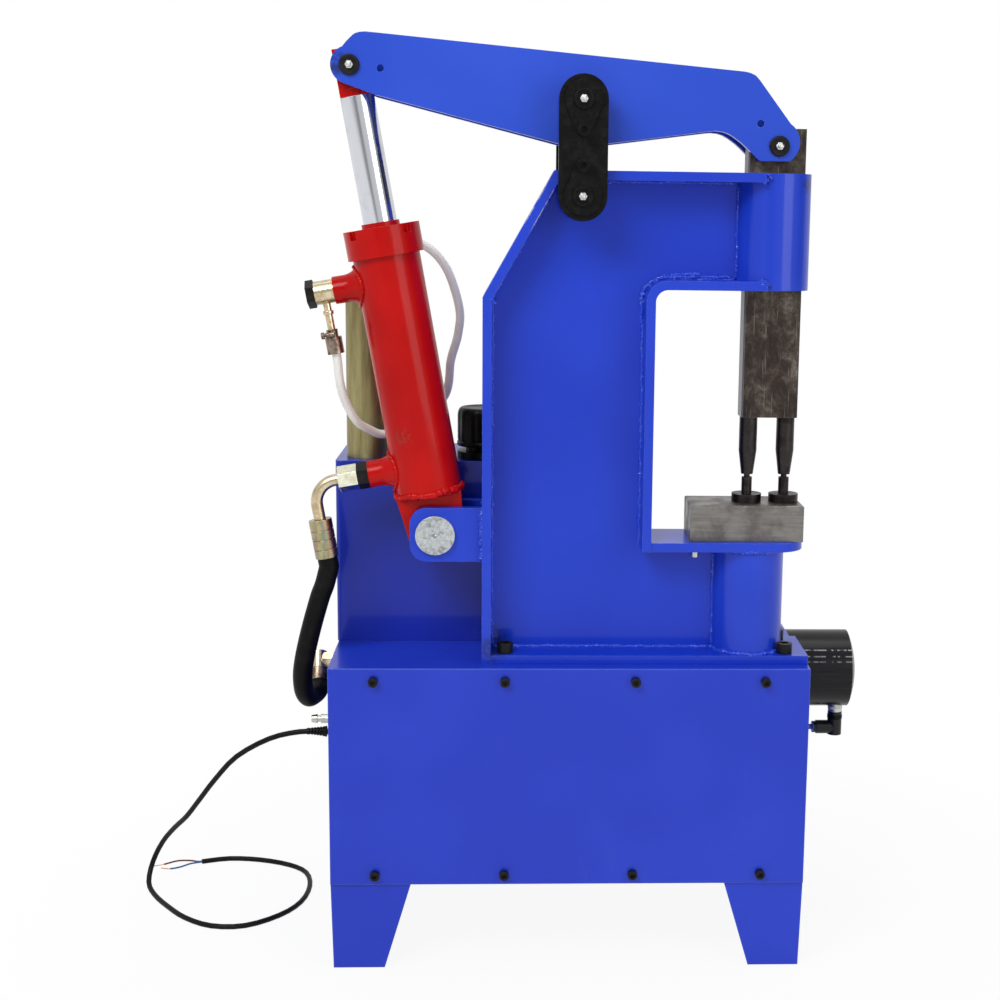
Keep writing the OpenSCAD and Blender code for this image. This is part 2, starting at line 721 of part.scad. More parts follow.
module bracket_ears() placed() color(frame_blue) for (y = [ear_near_y, ear_far_y])
    upright(y, ear_t) difference() {
        union() {
            for (side = [-1, 1]) translate(pivot + [ear_corner - ear_out, side * (ear_r - ear_corner)])
                circle(r = ear_corner);
            translate(pivot + [ear_corner - ear_out, -ear_r])
                square([ear_out - ear_corner - frame_back - pivot[0], 2 * ear_r]);
            translate(pivot + [-ear_out, ear_corner - ear_r])
                square([2 * ear_corner, 2 * (ear_r - ear_corner)]);
        }
        translate(pivot) circle(r = cyl_pin_r + seat);
    }

module cylinder_pin() placed() color(bright_steel) {
    across(pivot, ear_near_y - cyl_pin_head_t, cyl_pin_head_d / 2, cyl_pin_head_t);
    across(pivot, ear_near_y - over, cyl_pin_r, ear_far_y + 2 * ear_t - ear_near_y);
}

module frame_boss() placed() color(frame_blue) difference() {
    across([frame_pin_x, frame_pin_z], frame_mid - boss_len / 2, boss_d / 2, boss_len);
    across([frame_pin_x, frame_pin_z], frame_mid - boss_len, pin_r + pin_play, 2 * boss_len);
}

// Anvil block

// A block's end profile with its two top corners cut off
module topped(w, h, cut) polygon([[-w / 2, 0], [w / 2, 0], [w / 2, h - cut], [w / 2 - cut, h],
    [-w / 2 + cut, h], [-w / 2, h - cut]]);

module anvil_block() placed() color("#77787a") difference() {
    translate([block_x + block_w / 2, frame_mid, table_top]) intersection() {
        upright(-block_d / 2, block_d) topped(block_w, block_h, block_chamfer);
        translate([-block_w / 2, 0, 0]) rotate([90, 0, 90]) linear_extrude(block_w)
            topped(block_d, block_h, block_chamfer);
    }
    for (x = punch_xs) translate([x, frame_mid, block_top - anvil_pin_len])
        cylinder(h = anvil_pin_len + over, r = anvil_pin_d / 2 + seat);
    for (y = stud_ys) translate([stud_x, y, table_top - over])
        cylinder(h = stud_grip + screw_play + over, r = stud_d / 2 + seat);
}

module block_studs() placed() color(dark_steel) for (y = stud_ys)
    translate([stud_x, y, table_under - stud_low])
        cylinder(h = stud_low + plate_t + stud_grip, r = stud_d / 2);

module anvils() placed() color(dark_steel) for (x = punch_xs)
    translate([x, frame_mid, block_top]) {
        translate([0, 0, screw_play - anvil_pin_len])
            cylinder(h = anvil_pin_len, r = anvil_pin_d / 2);
        cylinder(h = anvil_h, r = anvil_d / 2);
        cylinder(h = tip_z - punch_gap - block_top, r = anvil_post_d / 2);
    }

// Tank

module tank_shape(in) {
    r = tank_r - in;
    translate([tank_x + tank_r, tank_front + in])
        square([tank_w - 2 * tank_r, tank_d - 2 * in]);
    translate([tank_x + in, tank_front + tank_r])
        square([tank_w - 2 * in, tank_d - 2 * tank_r]);
    for (x = [tank_x + tank_r, tank_x + tank_w - tank_r])
        for (y = [tank_front + tank_r, tank_front + tank_d - tank_r]) translate([x, y]) circle(r = r);
}

module oil_tank() placed() color(frame_blue) difference() {
    translate([0, 0, cab_top]) linear_extrude(tank_h) tank_shape(0);
    translate([0, 0, cab_top + sheet_t]) linear_extrude(tank_h - 2 * sheet_t) tank_shape(sheet_t);
    translate([neck_x, neck_y, tank_top - sheet_t - over])
        cylinder(h = sheet_t + 2 * over, r = neck_bore_r);
}

module filler_neck() placed() color(dark_steel) translate([neck_x, neck_y, tank_top]) difference() {
    union() {
        cylinder(h = neck_flange_t, r = neck_flange_r);
        cylinder(h = neck_h, r = neck_r);
    }
    translate([0, 0, -over]) cylinder(h = neck_h + 2 * over, r = neck_bore_r);
}

module filler_cap() placed() color(dark_steel)
    translate([neck_x, neck_y, tank_top + neck_flange_t + cap_gap]) difference() {
        union() {
            cylinder(h = cap_ring_t, r = cap_ring_r);
            cylinder(h = cap_h - cap_bevel, r = cap_d / 2);
            translate([0, 0, cap_h - cap_bevel])
                cylinder(h = cap_bevel, r1 = cap_d / 2, r2 = cap_d / 2 - cap_bevel);
        }
        translate([0, 0, -over]) cylinder(h = cap_h - cap_bevel + over, r = neck_r + cap_play);
    }

module return_pot() placed() color("#a89a5c") translate([pot_x, pot_y, tank_top]) {
    cylinder(h = pot_h - cap_bevel, r = pot_d / 2);
    translate([0, 0, pot_h - cap_bevel])
        cylinder(h = cap_bevel, r1 = pot_d / 2, r2 = pot_d / 2 - cap_bevel);
    translate([0, 0, pot_h]) cylinder(h = barb_len, r = barb_r);
}

// Air line

module air_cylinder() placed() color(dark_steel)
    translate([cab_w / 2, air_y, air_z]) rotate([0, 90, 0]) {
        dome_r = (air_r * air_r + air_dome * air_dome) / (2 * air_dome);
        cylinder(h = air_len, r = air_r);
        intersection() {
            translate([0, 0, air_len + air_dome - dome_r]) sphere(r = dome_r);
            cylinder(h = air_len + 2 * air_dome, r = air_r);
        }
    }

module air_nipple() placed() color(bright_steel) difference() {
    translate([nipple_x, air_y, air_z - air_r - nipple_len])
        cylinder(h = nipple_len + air_r, r = nipple_r);
    translate([cab_w / 2 - over, air_y, air_z]) rotate([0, 90, 0])
        cylinder(h = air_len + air_dome + over, r = air_r + seat);
}

module air_elbow() placed() color(dark_steel) translate([nipple_x, air_y, elbow_z]) {
    translate([0, 0, -elbow_r]) cylinder(h = elbow_drop + elbow_r, r = elbow_r);
    rotate([0, -90, 0]) difference() {
        union() {
            cylinder(h = elbow_arm, r = elbow_r * 0.95);
            translate([0, 0, elbow_arm]) cylinder(h = ring_len, r = ring_r);
        }
        translate([0, 0, elbow_arm / 2]) cylinder(h = elbow_arm, r = air_tube_r + seat);
    }
}

module air_tube() placed() color("#3a6ea8")
    translate([nipple_x - elbow_arm / 2, air_y, elbow_z]) rotate([0, -90, 0])
        cylinder(h = nipple_x - elbow_arm / 2 - cab_w / 2 + sheet_t, r = air_tube_r);

module air_inlet() placed() color(bright_steel)
    translate([-cab_w / 2, inlet_y, inlet_z]) rotate([0, -90, 0]) difference() {
        body_r = inlet_hex_r * 0.78;
        union() {
            cylinder(h = inlet_hex_r, r = inlet_hex_r, $fn = 6);
            cylinder(h = inlet_hex_r * 2.6, r = body_r);
            cylinder(h = inlet_hex_r * 3.2, r = body_r * 0.7);
            translate([0, 0, inlet_hex_r * 3.2])
                cylinder(h = inlet_hex_r, r1 = body_r, r2 = body_r * 0.8);
        }
        translate([0, 0, inlet_hex_r * 1.2]) cylinder(h = inlet_hex_r * 4, r = body_r / 2);
    }

// Fittings on the left wall

module cord_gland() placed() color("black") translate([-cab_w / 2, gland_y, gland_z])
    rotate([0, -90, 0]) {
        cylinder(h = gland_len / 2, r = gland_r * 1.1, $fn = 6);
        cylinder(h = gland_len * 0.8, r = gland_r);
        translate([0, 0, gland_len * 0.8])
            cylinder(h = gland_len * 0.2, r1 = gland_r, r2 = gland_r * 0.7);
    }

module along(v) rotate([0, acos(v[2]), atan2(v[1], v[0])]) children();

module wall_adapter() placed() color(gold_zinc) translate([-cab_w / 2, wall_y, wall_z]) {
    body_len = -cab_w / 2 - wall_hub_x;
    rotate([0, -90, 0]) {
        cylinder(h = body_len / 3, r = wall_hub_r * 0.92, $fn = 6);
        translate([0, 0, body_len / 3]) cylinder(h = body_len / 2, r = wall_hub_r * 0.98, $fn = 6);
        cylinder(h = body_len, r = wall_hub_r * 0.7);
    }
    translate([-body_len, 0, 0]) along(wall_dir) translate([0, 0, -wall_hub_r])
        cylinder(h = 2 * wall_hub_r, r = wall_hub_r * 0.85);
}

module wall_ferrule() placed() color(gold_zinc) translate([wall_hub_x, wall_y, wall_z])
    along(wall_dir) translate([0, 0, wall_hub_r + cap_play])
        cylinder(h = wall_ferrule_len - cap_play, r = hose_d / 2 + screw_play);

module pressure_hose() placed() color("#1d1d1f") swept(hose_path(), hose_d / 2, 12);

module return_tube() placed() color("#d8d2c0") swept(clear_path(), clear_d / 2, 8);

module power_cord() placed() color("black") swept(smooth(cord_route, 3), cord_d / 2, 8);

module cord_cores() placed() color("#8a5a3a") for (k = [0, 1]) {
    start = cord_tip + cord_way * core_gap + cord_side * core_apart * (1 - 2 * k);
    swept(smooth(concat([start, start + cord_way * 2 * core_d], core_turns[k]), 3), core_d / 2, 8);
}

// Oil cylinder

module port_bores() for (up = [port_low, port_high]) on_port(0, up)
    cylinder(h = port_reach + over, r = port_bore_r);

module cylinder_barrel() placed() color(cylinder_red) on_axis() difference() {
    translate([0, 0, barrel_foot]) cylinder(h = barrel_len, r = barrel_r);
    translate([0, 0, barrel_foot + barrel_floor]) cylinder(h = barrel_len, r = barrel_bore / 2);
    port_bores();
}

module cylinder_eye() placed() color(cylinder_red) on_axis() difference() {
    foot = barrel_r * 0.98;
    upright(-eye_t / 2, eye_t) {
        circle(r = eye_r);
        polygon([[-eye_r, 0], [eye_r, 0], [foot, barrel_foot], [-foot, barrel_foot]]);
    }
    across([0, 0], -eye_t, cyl_pin_r + pin_play, 2 * eye_t);
}

module cylinder_gland() placed() color(cylinder_red) on_axis() difference() {
    notch_w = gland_d * 0.12;
    union() {
        translate([0, 0, barrel_end - gland_spigot])
            cylinder(h = gland_spigot + over, r = barrel_bore / 2 - pin_play);
        translate([0, 0, barrel_end]) cylinder(h = gland_h, r = gland_d / 2);
        translate([0, 0, barrel_end]) cylinder(h = gland_h + wiper_h, r = wiper_d / 2);
    }
    translate([0, 0, barrel_end - barrel_bore]) cylinder(h = 2 * barrel_bore, r = rod_r + pin_play);
    for (a = [45 : 90 : 315]) rotate([0, 0, a])
        translate([gland_d / 2 - notch_w / 2, -notch_w / 2, barrel_end + gland_h - notch_w])
            cube([notch_w, notch_w, notch_w + over]);
}

module cylinder_ports() placed() color(cylinder_red) on_axis() difference() {
    for (up = [port_low, port_high]) on_port(0, up) cylinder(h = port_reach, r = port_d / 2);
    cylinder(h = barrel_end, r = barrel_r + seat);
    port_bores();
}

module banjo() placed() color(gold_zinc) on_axis() difference() {
    union() {
        on_port(port_reach, port_high) cylinder(h = banjo_len, r = banjo_r);
        translate([-stem_reach, 0, stem_end]) cylinder(h = port_high - stem_end, r = stem_r);
    }
    on_port(port_reach - over, port_high) cylinder(h = banjo_len + 2 * over, r = port_bore_r);
}

module banjo_bolt() placed() color(dark_steel) on_axis() {
    on_port(banjo_end, port_high) cylinder(h = bolt_head_t, r = banjo_r * 1.2, $fn = 6);
    on_port(port_reach - bolt_head_t, port_high)
        cylinder(h = bolt_head_t + banjo_len + over, r = port_bore_r - seat);
}

module hose_clamp() placed() color(gold_zinc) on_axis()
    translate([-stem_reach, 0, stem_end + clear_d / 6 - clamp_len])
        ring(clamp_r, clear_d / 2 + cap_play, clamp_len);

module port_adapter() placed() color(gold_zinc) on_axis() {
    on_port(port_reach, port_low) cylinder(h = adapter_len, r = port_d * 0.51, $fn = 6);
    on_port(port_reach - adapter_len, port_low)
        cylinder(h = adapter_len + over, r = port_bore_r - seat);
}

module hose_nut() placed() color(gold_zinc) on_axis()
    on_port(port_reach + adapter_len, port_low) difference() {
        cylinder(h = nut_end - port_reach - adapter_len, r = nut_r, $fn = 6);
        translate([0, 0, -over]) cylinder(h = nut_end - port_reach, r = pipe_r + seat);
    }

module hose_pipe() placed() color(gold_zinc) on_axis() {
    on_port(port_reach + adapter_len, port_low)
        cylinder(h = pipe_x - pipe_bend - port_reach - adapter_len, r = pipe_r);
    translate([pipe_bend - pipe_x, 0, port_low - pipe_bend]) rotate([90, 0, 0]) rotate([0, 0, 90])
        rotate_extrude(angle = 90) translate([pipe_bend, 0]) circle(r = pipe_r);
    translate([-pipe_x, 0, ferrule_top])
        cylinder(h = port_low - pipe_bend - ferrule_top, r = pipe_r);
}

module hose_ferrule() placed() color(gold_zinc) on_axis()
    translate([-pipe_x, 0, ferrule_foot]) {
        groove = ferrule_r * 0.1;
        cylinder(h = ferrule_len, r = ferrule_r - groove);
        for (k = [0 : 3]) translate([0, 0, k * ferrule_len / 4])
            cylinder(h = ferrule_len / 4 - groove * (k < 3 ? 1 : 0), r = ferrule_r);
    }

module piston_rod() placed() color("silver") on_axis() {
    translate([0, 0, piston_foot]) cylinder(h = piston_len + over, r = rod_stud_r);
    translate([0, 0, piston_foot + piston_len])
        cylinder(h = shoulder - piston_foot - piston_len, r = rod_r);
    translate([0, 0, shoulder - over]) cylinder(h = rod_stud_len + over, r = rod_stud_r);
}

module piston() placed() color(bright_steel) on_axis() translate([0, 0, piston_foot])
    ring(barrel_bore / 2 - pin_play, rod_stud_r + seat, piston_len);

module rod_eye() placed() color(cylinder_red) on_axis() difference() {
    union() {
        translate([-rod_eye_r, -rod_eye_t / 2, shoulder])
            cube([2 * rod_eye_r, rod_eye_t, rod_shoulder + 1.15 * rod_eye_r]);
        translate([0, 0, shoulder]) cylinder(h = rod_shoulder / 4, r = eye_collar_r);
    }
    translate([0, 0, axis_len]) across([0, 0], -rod_eye_t, pin_r + open_play, 2 * rod_eye_t);
    translate([0, 0, shoulder - over])
        cylinder(h = rod_stud_len + screw_play + over, r = rod_stud_r + seat);
}

// Linkage

module lever_outline(lift_holes) difference() {
    union() {
        translate(rod_pin) circle(r = lever_tail_r);
        intersection() {
            translate(ram_pin + lever_nose_r * [-0.05, 0.17]) circle(r = lever_nose_r);
            translate(ram_pin - lever_nose_r * [1.2, nose_flat_share])
                square(lever_nose_r * [2.4, 1.3 + nose_flat_share]);
        }
        polygon([rod_pin + lever_tail_r * [cos(255), sin(255)],
            rod_pin + lever_tail_r * [1.29, -1.5],
            [fulcrum_x - lever_belly * 0.18, fulcrum_z - lever_belly],
            ram_pin + lever_nose_r * [-3.26, 0.618],
            ram_pin + lever_nose_r * [-3, 0.646],
            ram_pin + lever_nose_r * [-2.66, 0.618],
            ram_pin + lever_nose_r * [-2.4, 0.54],
            ram_pin + lever_nose_r * [-2.14, 0.4],
            ram_pin + lever_nose_r * [-1.79, 0.154],
            ram_pin + lever_nose_r * [-1.52, -0.08],
            ram_pin + lever_nose_r * [-0.9, -nose_flat_share],
            ram_pin + lever_nose_r * [0.3, -nose_flat_share],
            ram_pin + lever_nose_r * [0.61, 0.86],
            lever_peak + lever_corner * [0.612, -0.792],
            lever_peak + lever_corner * [0.17, -0.32],
            lever_peak + lever_corner * [-0.097, -0.18],
            lever_peak + lever_corner * [-0.45, -0.03],
            lever_peak + lever_corner * [-0.996, 0.085],
            rod_pin + lever_crown * [0.516, 1.012],
            rod_pin + lever_crown * [0.331, 0.995],
            rod_pin + lever_crown * [0.2, 0.96],
            rod_pin + lever_crown * [0.104, 0.896],
            rod_pin + lever_crown * [-0.084, 0.711],
            rod_pin + lever_crown * [-0.274, 0.48],
            rod_pin + lever_tail_r * [cos(150), sin(150)]]);
    }
    for (p = [rod_pin, ram_pin]) translate(p) circle(r = pin_r + seat);
    translate([fulcrum_x, fulcrum_z]) circle(r = boss_d / 2 + seat);
    if (lift_holes)
        for (p = [rod_pin + lever_tail_r * [1.63, -0.15], ram_pin + lever_nose_r * [-0.9, 1]])
            translate(p) circle(r = lift_hole_d / 2);
}

module lever_near() placed() color(frame_blue) upright(lever_near_y, lever_t)
    lever_outline(lift_holes = true);

module lever_far() placed() color(frame_blue) upright(lever_far_y, lever_t)
    lever_outline(lift_holes = false);

module lever_boss() placed() color(frame_blue) difference() {
    across([fulcrum_x, fulcrum_z], frame_mid - boss_len / 2, boss_d / 2, boss_len);
    across([fulcrum_x, fulcrum_z], frame_mid - boss_len, pin_r + pin_play, 2 * boss_len);
}

module lever_pins() placed() color(dark_steel) for (p = [rod_pin, ram_pin])
    across(p, lever_near_y - pin_out, pin_r, lever_pin_len);

module link_outline() difference() {
    union() {
        translate([frame_pin_x - link_w / 2, frame_pin_z]) square([link_w, link_c]);
        for (z = [frame_pin_z, fulcrum_z]) translate([frame_pin_x, z]) circle(r = link_w / 2);
    }
    for (z = [frame_pin_z, fulcrum_z]) translate([frame_pin_x, z]) circle(r = pin_r + seat);
}

module link_near() placed() color(dark_steel) difference() {
    upright(link_near_y, link_t) link_outline();
    for (z = keeper_screw_zs) across([frame_pin_x, z], link_near_y - over,
        keeper_bolt_d / 2 + seat, link_t + 2 * over);
}

module link_far() placed() color(dark_steel) upright(link_far_y, link_t) link_outline();

module link_pins() placed() color(dark_steel) for (z = [frame_pin_z, fulcrum_z])
    across([frame_pin_x, z], link_near_y - keeper_t - pin_out, pin_r, link_pin_len);

// Two circles joined by their outer tangents, the big one at the origin
module teardrop(big, small, reach) {
    a = asin((big - small) / reach);
    circle(r = big);
    translate([0, reach]) circle(r = small);
    polygon([[big * cos(a), big * sin(a)], [small * cos(a), reach + small * sin(a)],
        [-small * cos(a), reach + small * sin(a)], [-big * cos(a), big * sin(a)]]);
}

module pin_keepers() placed() color(dark_steel) for (k = [0, 1]) {
    pin_z = k == 0 ? frame_pin_z : fulcrum_z;
    upright(link_near_y - keeper_t, keeper_t) translate([frame_pin_x, pin_z]) difference() {
        mirror([0, k]) teardrop(keeper_hub_r, keeper_bolt_d * 0.9, keeper_reach);
        circle(r = pin_r + seat);
        translate([0, keeper_reach * (1 - 2 * k)]) circle(r = keeper_bolt_d / 2 + screw_play);
    }
    translate([frame_pin_x, link_near_y - keeper_t, pin_z + keeper_reach * (1 - 2 * k)])
        rotate([90, 0, 0]) socket_screw(keeper_bolt_d, keeper_head, keeper_t + link_t);
}

// Ram

module ram() placed() color(bare_steel) translate([ram_x, frame_mid, ram_low]) difference() {
    x = ram_w / 2;
    y = ram_d / 2;
    c = ram_chamfer;
    linear_extrude(ram_len) polygon([[x - c, -y], [x, c - y], [x, y - c], [x - c, y],
        [c - x, y], [-x, y - c], [-x, c - y], [c - x, -y]]);
    across([0, ram_pin[1] - ram_low], -ram_d, pin_r + open_play, 2 * ram_d);
    for (side = [-1, 1]) translate([side * punch_pitch / 2, 0, -over])
        cylinder(h = punch_shank_len + screw_play + over, r = punch_shank_d / 2 + seat);
}

module punches() placed() color(dark_steel) for (x = punch_xs) translate([x, frame_mid, ram_low]) {
    translate([0, 0, -over]) cylinder(h = punch_shank_len + over, r = punch_shank_d / 2);
    translate([0, 0, -punch_len]) cylinder(h = punch_len, r = punch_d / 2);
    translate([0, 0, -punch_len - punch_taper])
        cylinder(h = punch_taper, r1 = punch_end_d / 2, r2 = punch_d / 2);
    translate([0, 0, tip_z - ram_low]) cylinder(h = punch_tip_len + over, r = punch_tip_d / 2);
}

cabinet();
side_cover();
cover_screws();
legs();
frame_web();
back_flange();
top_flange();
throat_flange();
table_plate();
guide_tube();
guide_bushes();
column();
base_plate();
frame_bolts();
bracket_ears();
cylinder_pin();
frame_boss();
anvil_block();
block_studs();
anvils();
oil_tank();
filler_neck();
filler_cap();
return_pot();
air_cylinder();
air_nipple();
air_elbow();
air_tube();
air_inlet();
wall_adapter();
wall_ferrule();
pressure_hose();
return_tube();
cord_gland();
power_cord();
cord_cores();
cylinder_barrel();
cylinder_eye();
cylinder_gland();
cylinder_ports();
banjo();
banjo_bolt();
hose_clamp();
port_adapter();
hose_nut();
hose_pipe();
hose_ferrule();
piston_rod();
piston();
rod_eye();
lever_near();
lever_far();
lever_boss();
lever_pins();
link_near();
link_far();
link_pins();
pin_keepers();
ram();
punches();
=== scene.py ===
"""A pneumatic riveting machine: a red oil cylinder rocks a blue lever that drives the ram."""
import math
import random

import bmesh
import bpy
from mathutils import Matrix, Vector, noise


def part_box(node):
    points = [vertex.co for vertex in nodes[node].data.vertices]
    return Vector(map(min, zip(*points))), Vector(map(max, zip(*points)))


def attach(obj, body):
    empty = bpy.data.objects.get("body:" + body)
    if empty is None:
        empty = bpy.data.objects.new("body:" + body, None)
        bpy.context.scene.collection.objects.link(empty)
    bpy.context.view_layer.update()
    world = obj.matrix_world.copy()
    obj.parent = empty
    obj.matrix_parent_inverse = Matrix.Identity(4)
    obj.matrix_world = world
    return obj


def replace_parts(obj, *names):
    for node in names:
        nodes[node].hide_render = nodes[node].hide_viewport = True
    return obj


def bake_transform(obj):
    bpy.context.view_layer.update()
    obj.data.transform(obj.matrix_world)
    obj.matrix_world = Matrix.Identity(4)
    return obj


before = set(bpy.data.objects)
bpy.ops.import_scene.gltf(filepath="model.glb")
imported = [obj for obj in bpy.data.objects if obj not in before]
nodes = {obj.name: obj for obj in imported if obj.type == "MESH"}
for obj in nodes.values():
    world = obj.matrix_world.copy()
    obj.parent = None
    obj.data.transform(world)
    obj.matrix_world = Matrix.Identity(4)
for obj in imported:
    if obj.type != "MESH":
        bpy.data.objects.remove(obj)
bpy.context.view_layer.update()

mm = 0.001
cover_low, cover_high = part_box("side_cover")
home = Vector(((cover_low[0] + cover_high[0]) / 2, cover_low[1], 0))


def at(x, y, z):
    """A place in millimetres: x from the cabinet's middle, y behind its cover, z from the floor."""
    return home + Vector((x, y, z)) * mm


# The pins of the linkage, seen from the front, and the cylinder's lean
frame_pin, fulcrum, ram_pin, rod_pin = (8.5, 1035), (8.5, 1155), (262.5, 1102.5), (-287, 1195)
cylinder_pin = (-180, 592.5)
lean = math.atan2(rod_pin[0] - cylinder_pin[0], rod_pin[1] - cylinder_pin[1])

# The C-frame in millimetres: its middle, its web, the levels and the edges that its beads follow
frame_mid = 77
web_faces = (72, 82)
ear_faces = (36.4, 52.6, 101.4, 117.6)
base_top, table_under, throat_roof, top_under = 432, 573, 930, 1056
flange_in, flange_out, throat_in = -106, -118, 93.5
column_side, tube_side, column_x = 194, 214, 242
bend_low, bend_high = (flange_in + 0.4, 903), (-20, top_under - 0.6)

# The oil cylinder in millimetres: its radius, and its ports and its hoses' ends from its pivot
barrel_r = 44
port_heights = (89, 336)
stem_out, hose_mouth = 88, (151, -12)

# The upright axes of the air elbow and of the filler cap, seen from above
elbow_axis = (401, 230)
cap_axis = (-118, 190)


def on_cylinder(out, up, y=0.0):
    """A place beside the cylinder's axis: out towards its ports, up from its pivot, y behind it."""
    return at(cylinder_pin[0] - out * math.cos(lean) + up * math.sin(lean), frame_mid + y,
              cylinder_pin[1] + out * math.sin(lean) + up * math.cos(lean))


across = on_cylinder(1, 0) - on_cylinder(0, 0)
down = (on_cylinder(0, -1) - on_cylinder(0, 0)).normalized()


# ------------------------------------------------------------------ camera

def set_camera():
    """The photograph's view: its place, its turns in degrees, its lens and its shift."""
    place, turns, lens, shift = (-75.9, -2115.7, 1011.4), (2.71, 9.76, 0.79), 59.52, -0.0913
    yaw, pitch, roll = (math.radians(a) for a in turns)
    ahead = Vector((math.sin(yaw) * math.cos(pitch), math.cos(yaw) * math.cos(pitch),
                    -math.sin(pitch)))
    right = Vector((math.cos(yaw), -math.sin(yaw), 0))
    up = right.cross(ahead)
    side = right * math.cos(roll) + up * math.sin(roll)
    top = up * math.cos(roll) - right * math.sin(roll)
    data = bpy.data.cameras.new("camera")
    data.sensor_width = 36
    data.lens = lens
    data.shift_x = shift
    data.clip_end = 50
    camera = bpy.data.objects.new("camera", data)
    bpy.context.collection.objects.link(camera)
    turned_to = Matrix((side, top, -ahead)).transposed().to_4x4()
    camera.matrix_world = Matrix.Translation(at(*place)) @ turned_to
    bpy.context.scene.camera = camera


# ------------------------------------------------------------------ finishes

class Wire:
    """A socket of a finish, on which sums can be written."""

    def __init__(self, finish, socket):
        self.finish, self.socket = finish, socket

    def sum_of(self, operation, first, second):
        """The result of a sum on two sockets or numbers."""
        return self.finish.add("ShaderNodeMath", {"operation": operation}, {0: first, 1: second})

    def __add__(self, other):
        return self.sum_of("ADD", self, other)

    def __sub__(self, other):
        return self.sum_of("SUBTRACT", self, other)

    def __rsub__(self, other):
        return self.sum_of("SUBTRACT", other, self)

    def __mul__(self, other):
        return self.sum_of("MULTIPLY", self, other)

    __radd__, __rmul__ = __add__, __mul__

    def between(self, low, high, start=0.0, end=1.0):
        """Eased from start to end while this goes from low to high."""
        return self.finish.add("ShaderNodeMapRange", {"interpolation_type": "SMOOTHSTEP"},
                               {"Value": self, "From Min": low, "From Max": high,
                                "To Min": start, "To Max": end})


class Wiring:
    """The nodes of a material or of the sky."""

    def __init__(self, tree):
        self.tree = tree

    def add(self, kind, settings=None, sockets=None, out=0):
        """A new node with its settings and inputs; gives the output named or numbered out."""
        node = self.tree.nodes.new(kind)
        for key, value in (settings or {}).items():
            if key == "stops":
                ramp = node.color_ramp
                while len(ramp.elements) < len(value):
                    ramp.elements.new(1)
                for element, (place, colour) in zip(ramp.elements, value):
                    element.position, element.color = place, (*colour, 1)
            else:
                setattr(node, key, value)
        for key, value in (sockets or {}).items():
            self.plug(node.inputs[key], value)
        return Wire(self, node.outputs[out])

    def plug(self, socket, value):
        """Links a wire to a socket, or sets the socket to a number or a colour."""
        if isinstance(value, Wire):
            self.tree.links.new(value.socket, socket)
        elif isinstance(value, tuple) and len(value) == 3 and socket.type == "RGBA":
            socket.default_value = (*value, 1)
        else:
            socket.default_value = value

    def stops(self, value, *stops):
        """A colour read off a ramp of (place, colour) stops."""
        return self.add("ShaderNodeValToRGB", {"stops": stops}, {0: value})


class Finish(Wiring):
    """A material whose surface is set from sums on textures."""

    def __init__(self, name, slot, roughness=0.4, metal=0.0, coat=0.0, gloss=0.5):
        self.slot = slot
        self.material = bpy.data.materials.new(name)
        self.material.use_nodes = True
        super().__init__(self.material.node_tree)
        self.surface = self.tree.nodes["Principled BSDF"]
        self.place = self.add("ShaderNodeTexCoord", out="Object")
        self.set(Roughness=roughness, Metallic=metal)
        self.surface.inputs["Coat Weight"].default_value = coat
        self.surface.inputs["Coat Roughness"].default_value = 0.08
        self.surface.inputs["Specular IOR Level"].default_value = gloss

    def set(self, **values):
        """Sets the surface's inputs, with their names' blanks written as underscores."""
        for key, value in values.items():
            self.plug(self.surface.inputs[key.replace("_", " ")], value)

    def stretched(self, x, y, z):
        """The place scaled on each axis: textures on it are long where the scale is small."""
        return self.add("ShaderNodeMapping", {}, {"Vector": self.place, "Scale": (x, y, z)})

    def cloud(self, size, detail=3.0, rough=0.55, vector=None, twist=0.0):
        """Noise whose blotches are size millimetres across."""
        return self.add("ShaderNodeTexNoise", {}, {
            "Vector": vector or self.place, "Scale": 1000.0 / size, "Detail": detail,
            "Roughness": rough, "Distortion": twist})

    def cells(self, size, out="Distance"):
        """Cells size millimetres across."""
        return self.add("ShaderNodeTexVoronoi", {},
                        {"Vector": self.place, "Scale": 1000.0 / size}, out=out)

    def mix(self, share, first, second):
        """The first colour, with a share of the second."""
        return self.add("ShaderNodeMix", {"data_type": "RGBA"},
                        {0: share, 6: first, 7: second}, out=2)

    def rounded(self, size):
        """The surface's direction, with edges rounded by size millimetres."""
        return self.add("ShaderNodeBevel", {"samples": 6}, {"Radius": size * mm})

    def edges(self, size, low=0.03, high=0.25):
        """One along the edges of a piece, nothing on its faces."""
        normal = self.add("ShaderNodeNewGeometry", out="Normal")
        facing = self.add("ShaderNodeVectorMath", {"operation": "DOT_PRODUCT"},
                          {0: normal, 1: self.rounded(size)}, out="Value")
        return (1 - facing).between(low, high)

    def up(self):
        """Height above the floor in metres."""
        return self.add("ShaderNodeSeparateXYZ", {}, {0: self.place}, out="Z")

    def beside(self, x, z, inner, outer):
        """One within inner millimetres of a line straight through the machine, none past outer."""
        away = self.add("ShaderNodeVectorMath", {"operation": "SUBTRACT"},
                        {0: self.place, 1: tuple(at(x, 0, z))})
        flat = self.add("ShaderNodeVectorMath", {"operation": "MULTIPLY"}, {0: away, 1: (1, 0, 1)})
        reach = self.add("ShaderNodeVectorMath", {"operation": "LENGTH"}, {0: flat}, out="Value")
        return reach.between(outer * mm, inner * mm)

    def bump(self, height, depth, strength=1.0, edge=0.0):
        """Relief of depth millimetres, with the edges rounded by edge millimetres."""
        sockets = {"Height": height, "Distance": depth * mm, "Strength": strength}
        if edge:
            sockets["Normal"] = self.rounded(edge)
        self.set(Normal=self.add("ShaderNodeBump", {}, sockets))


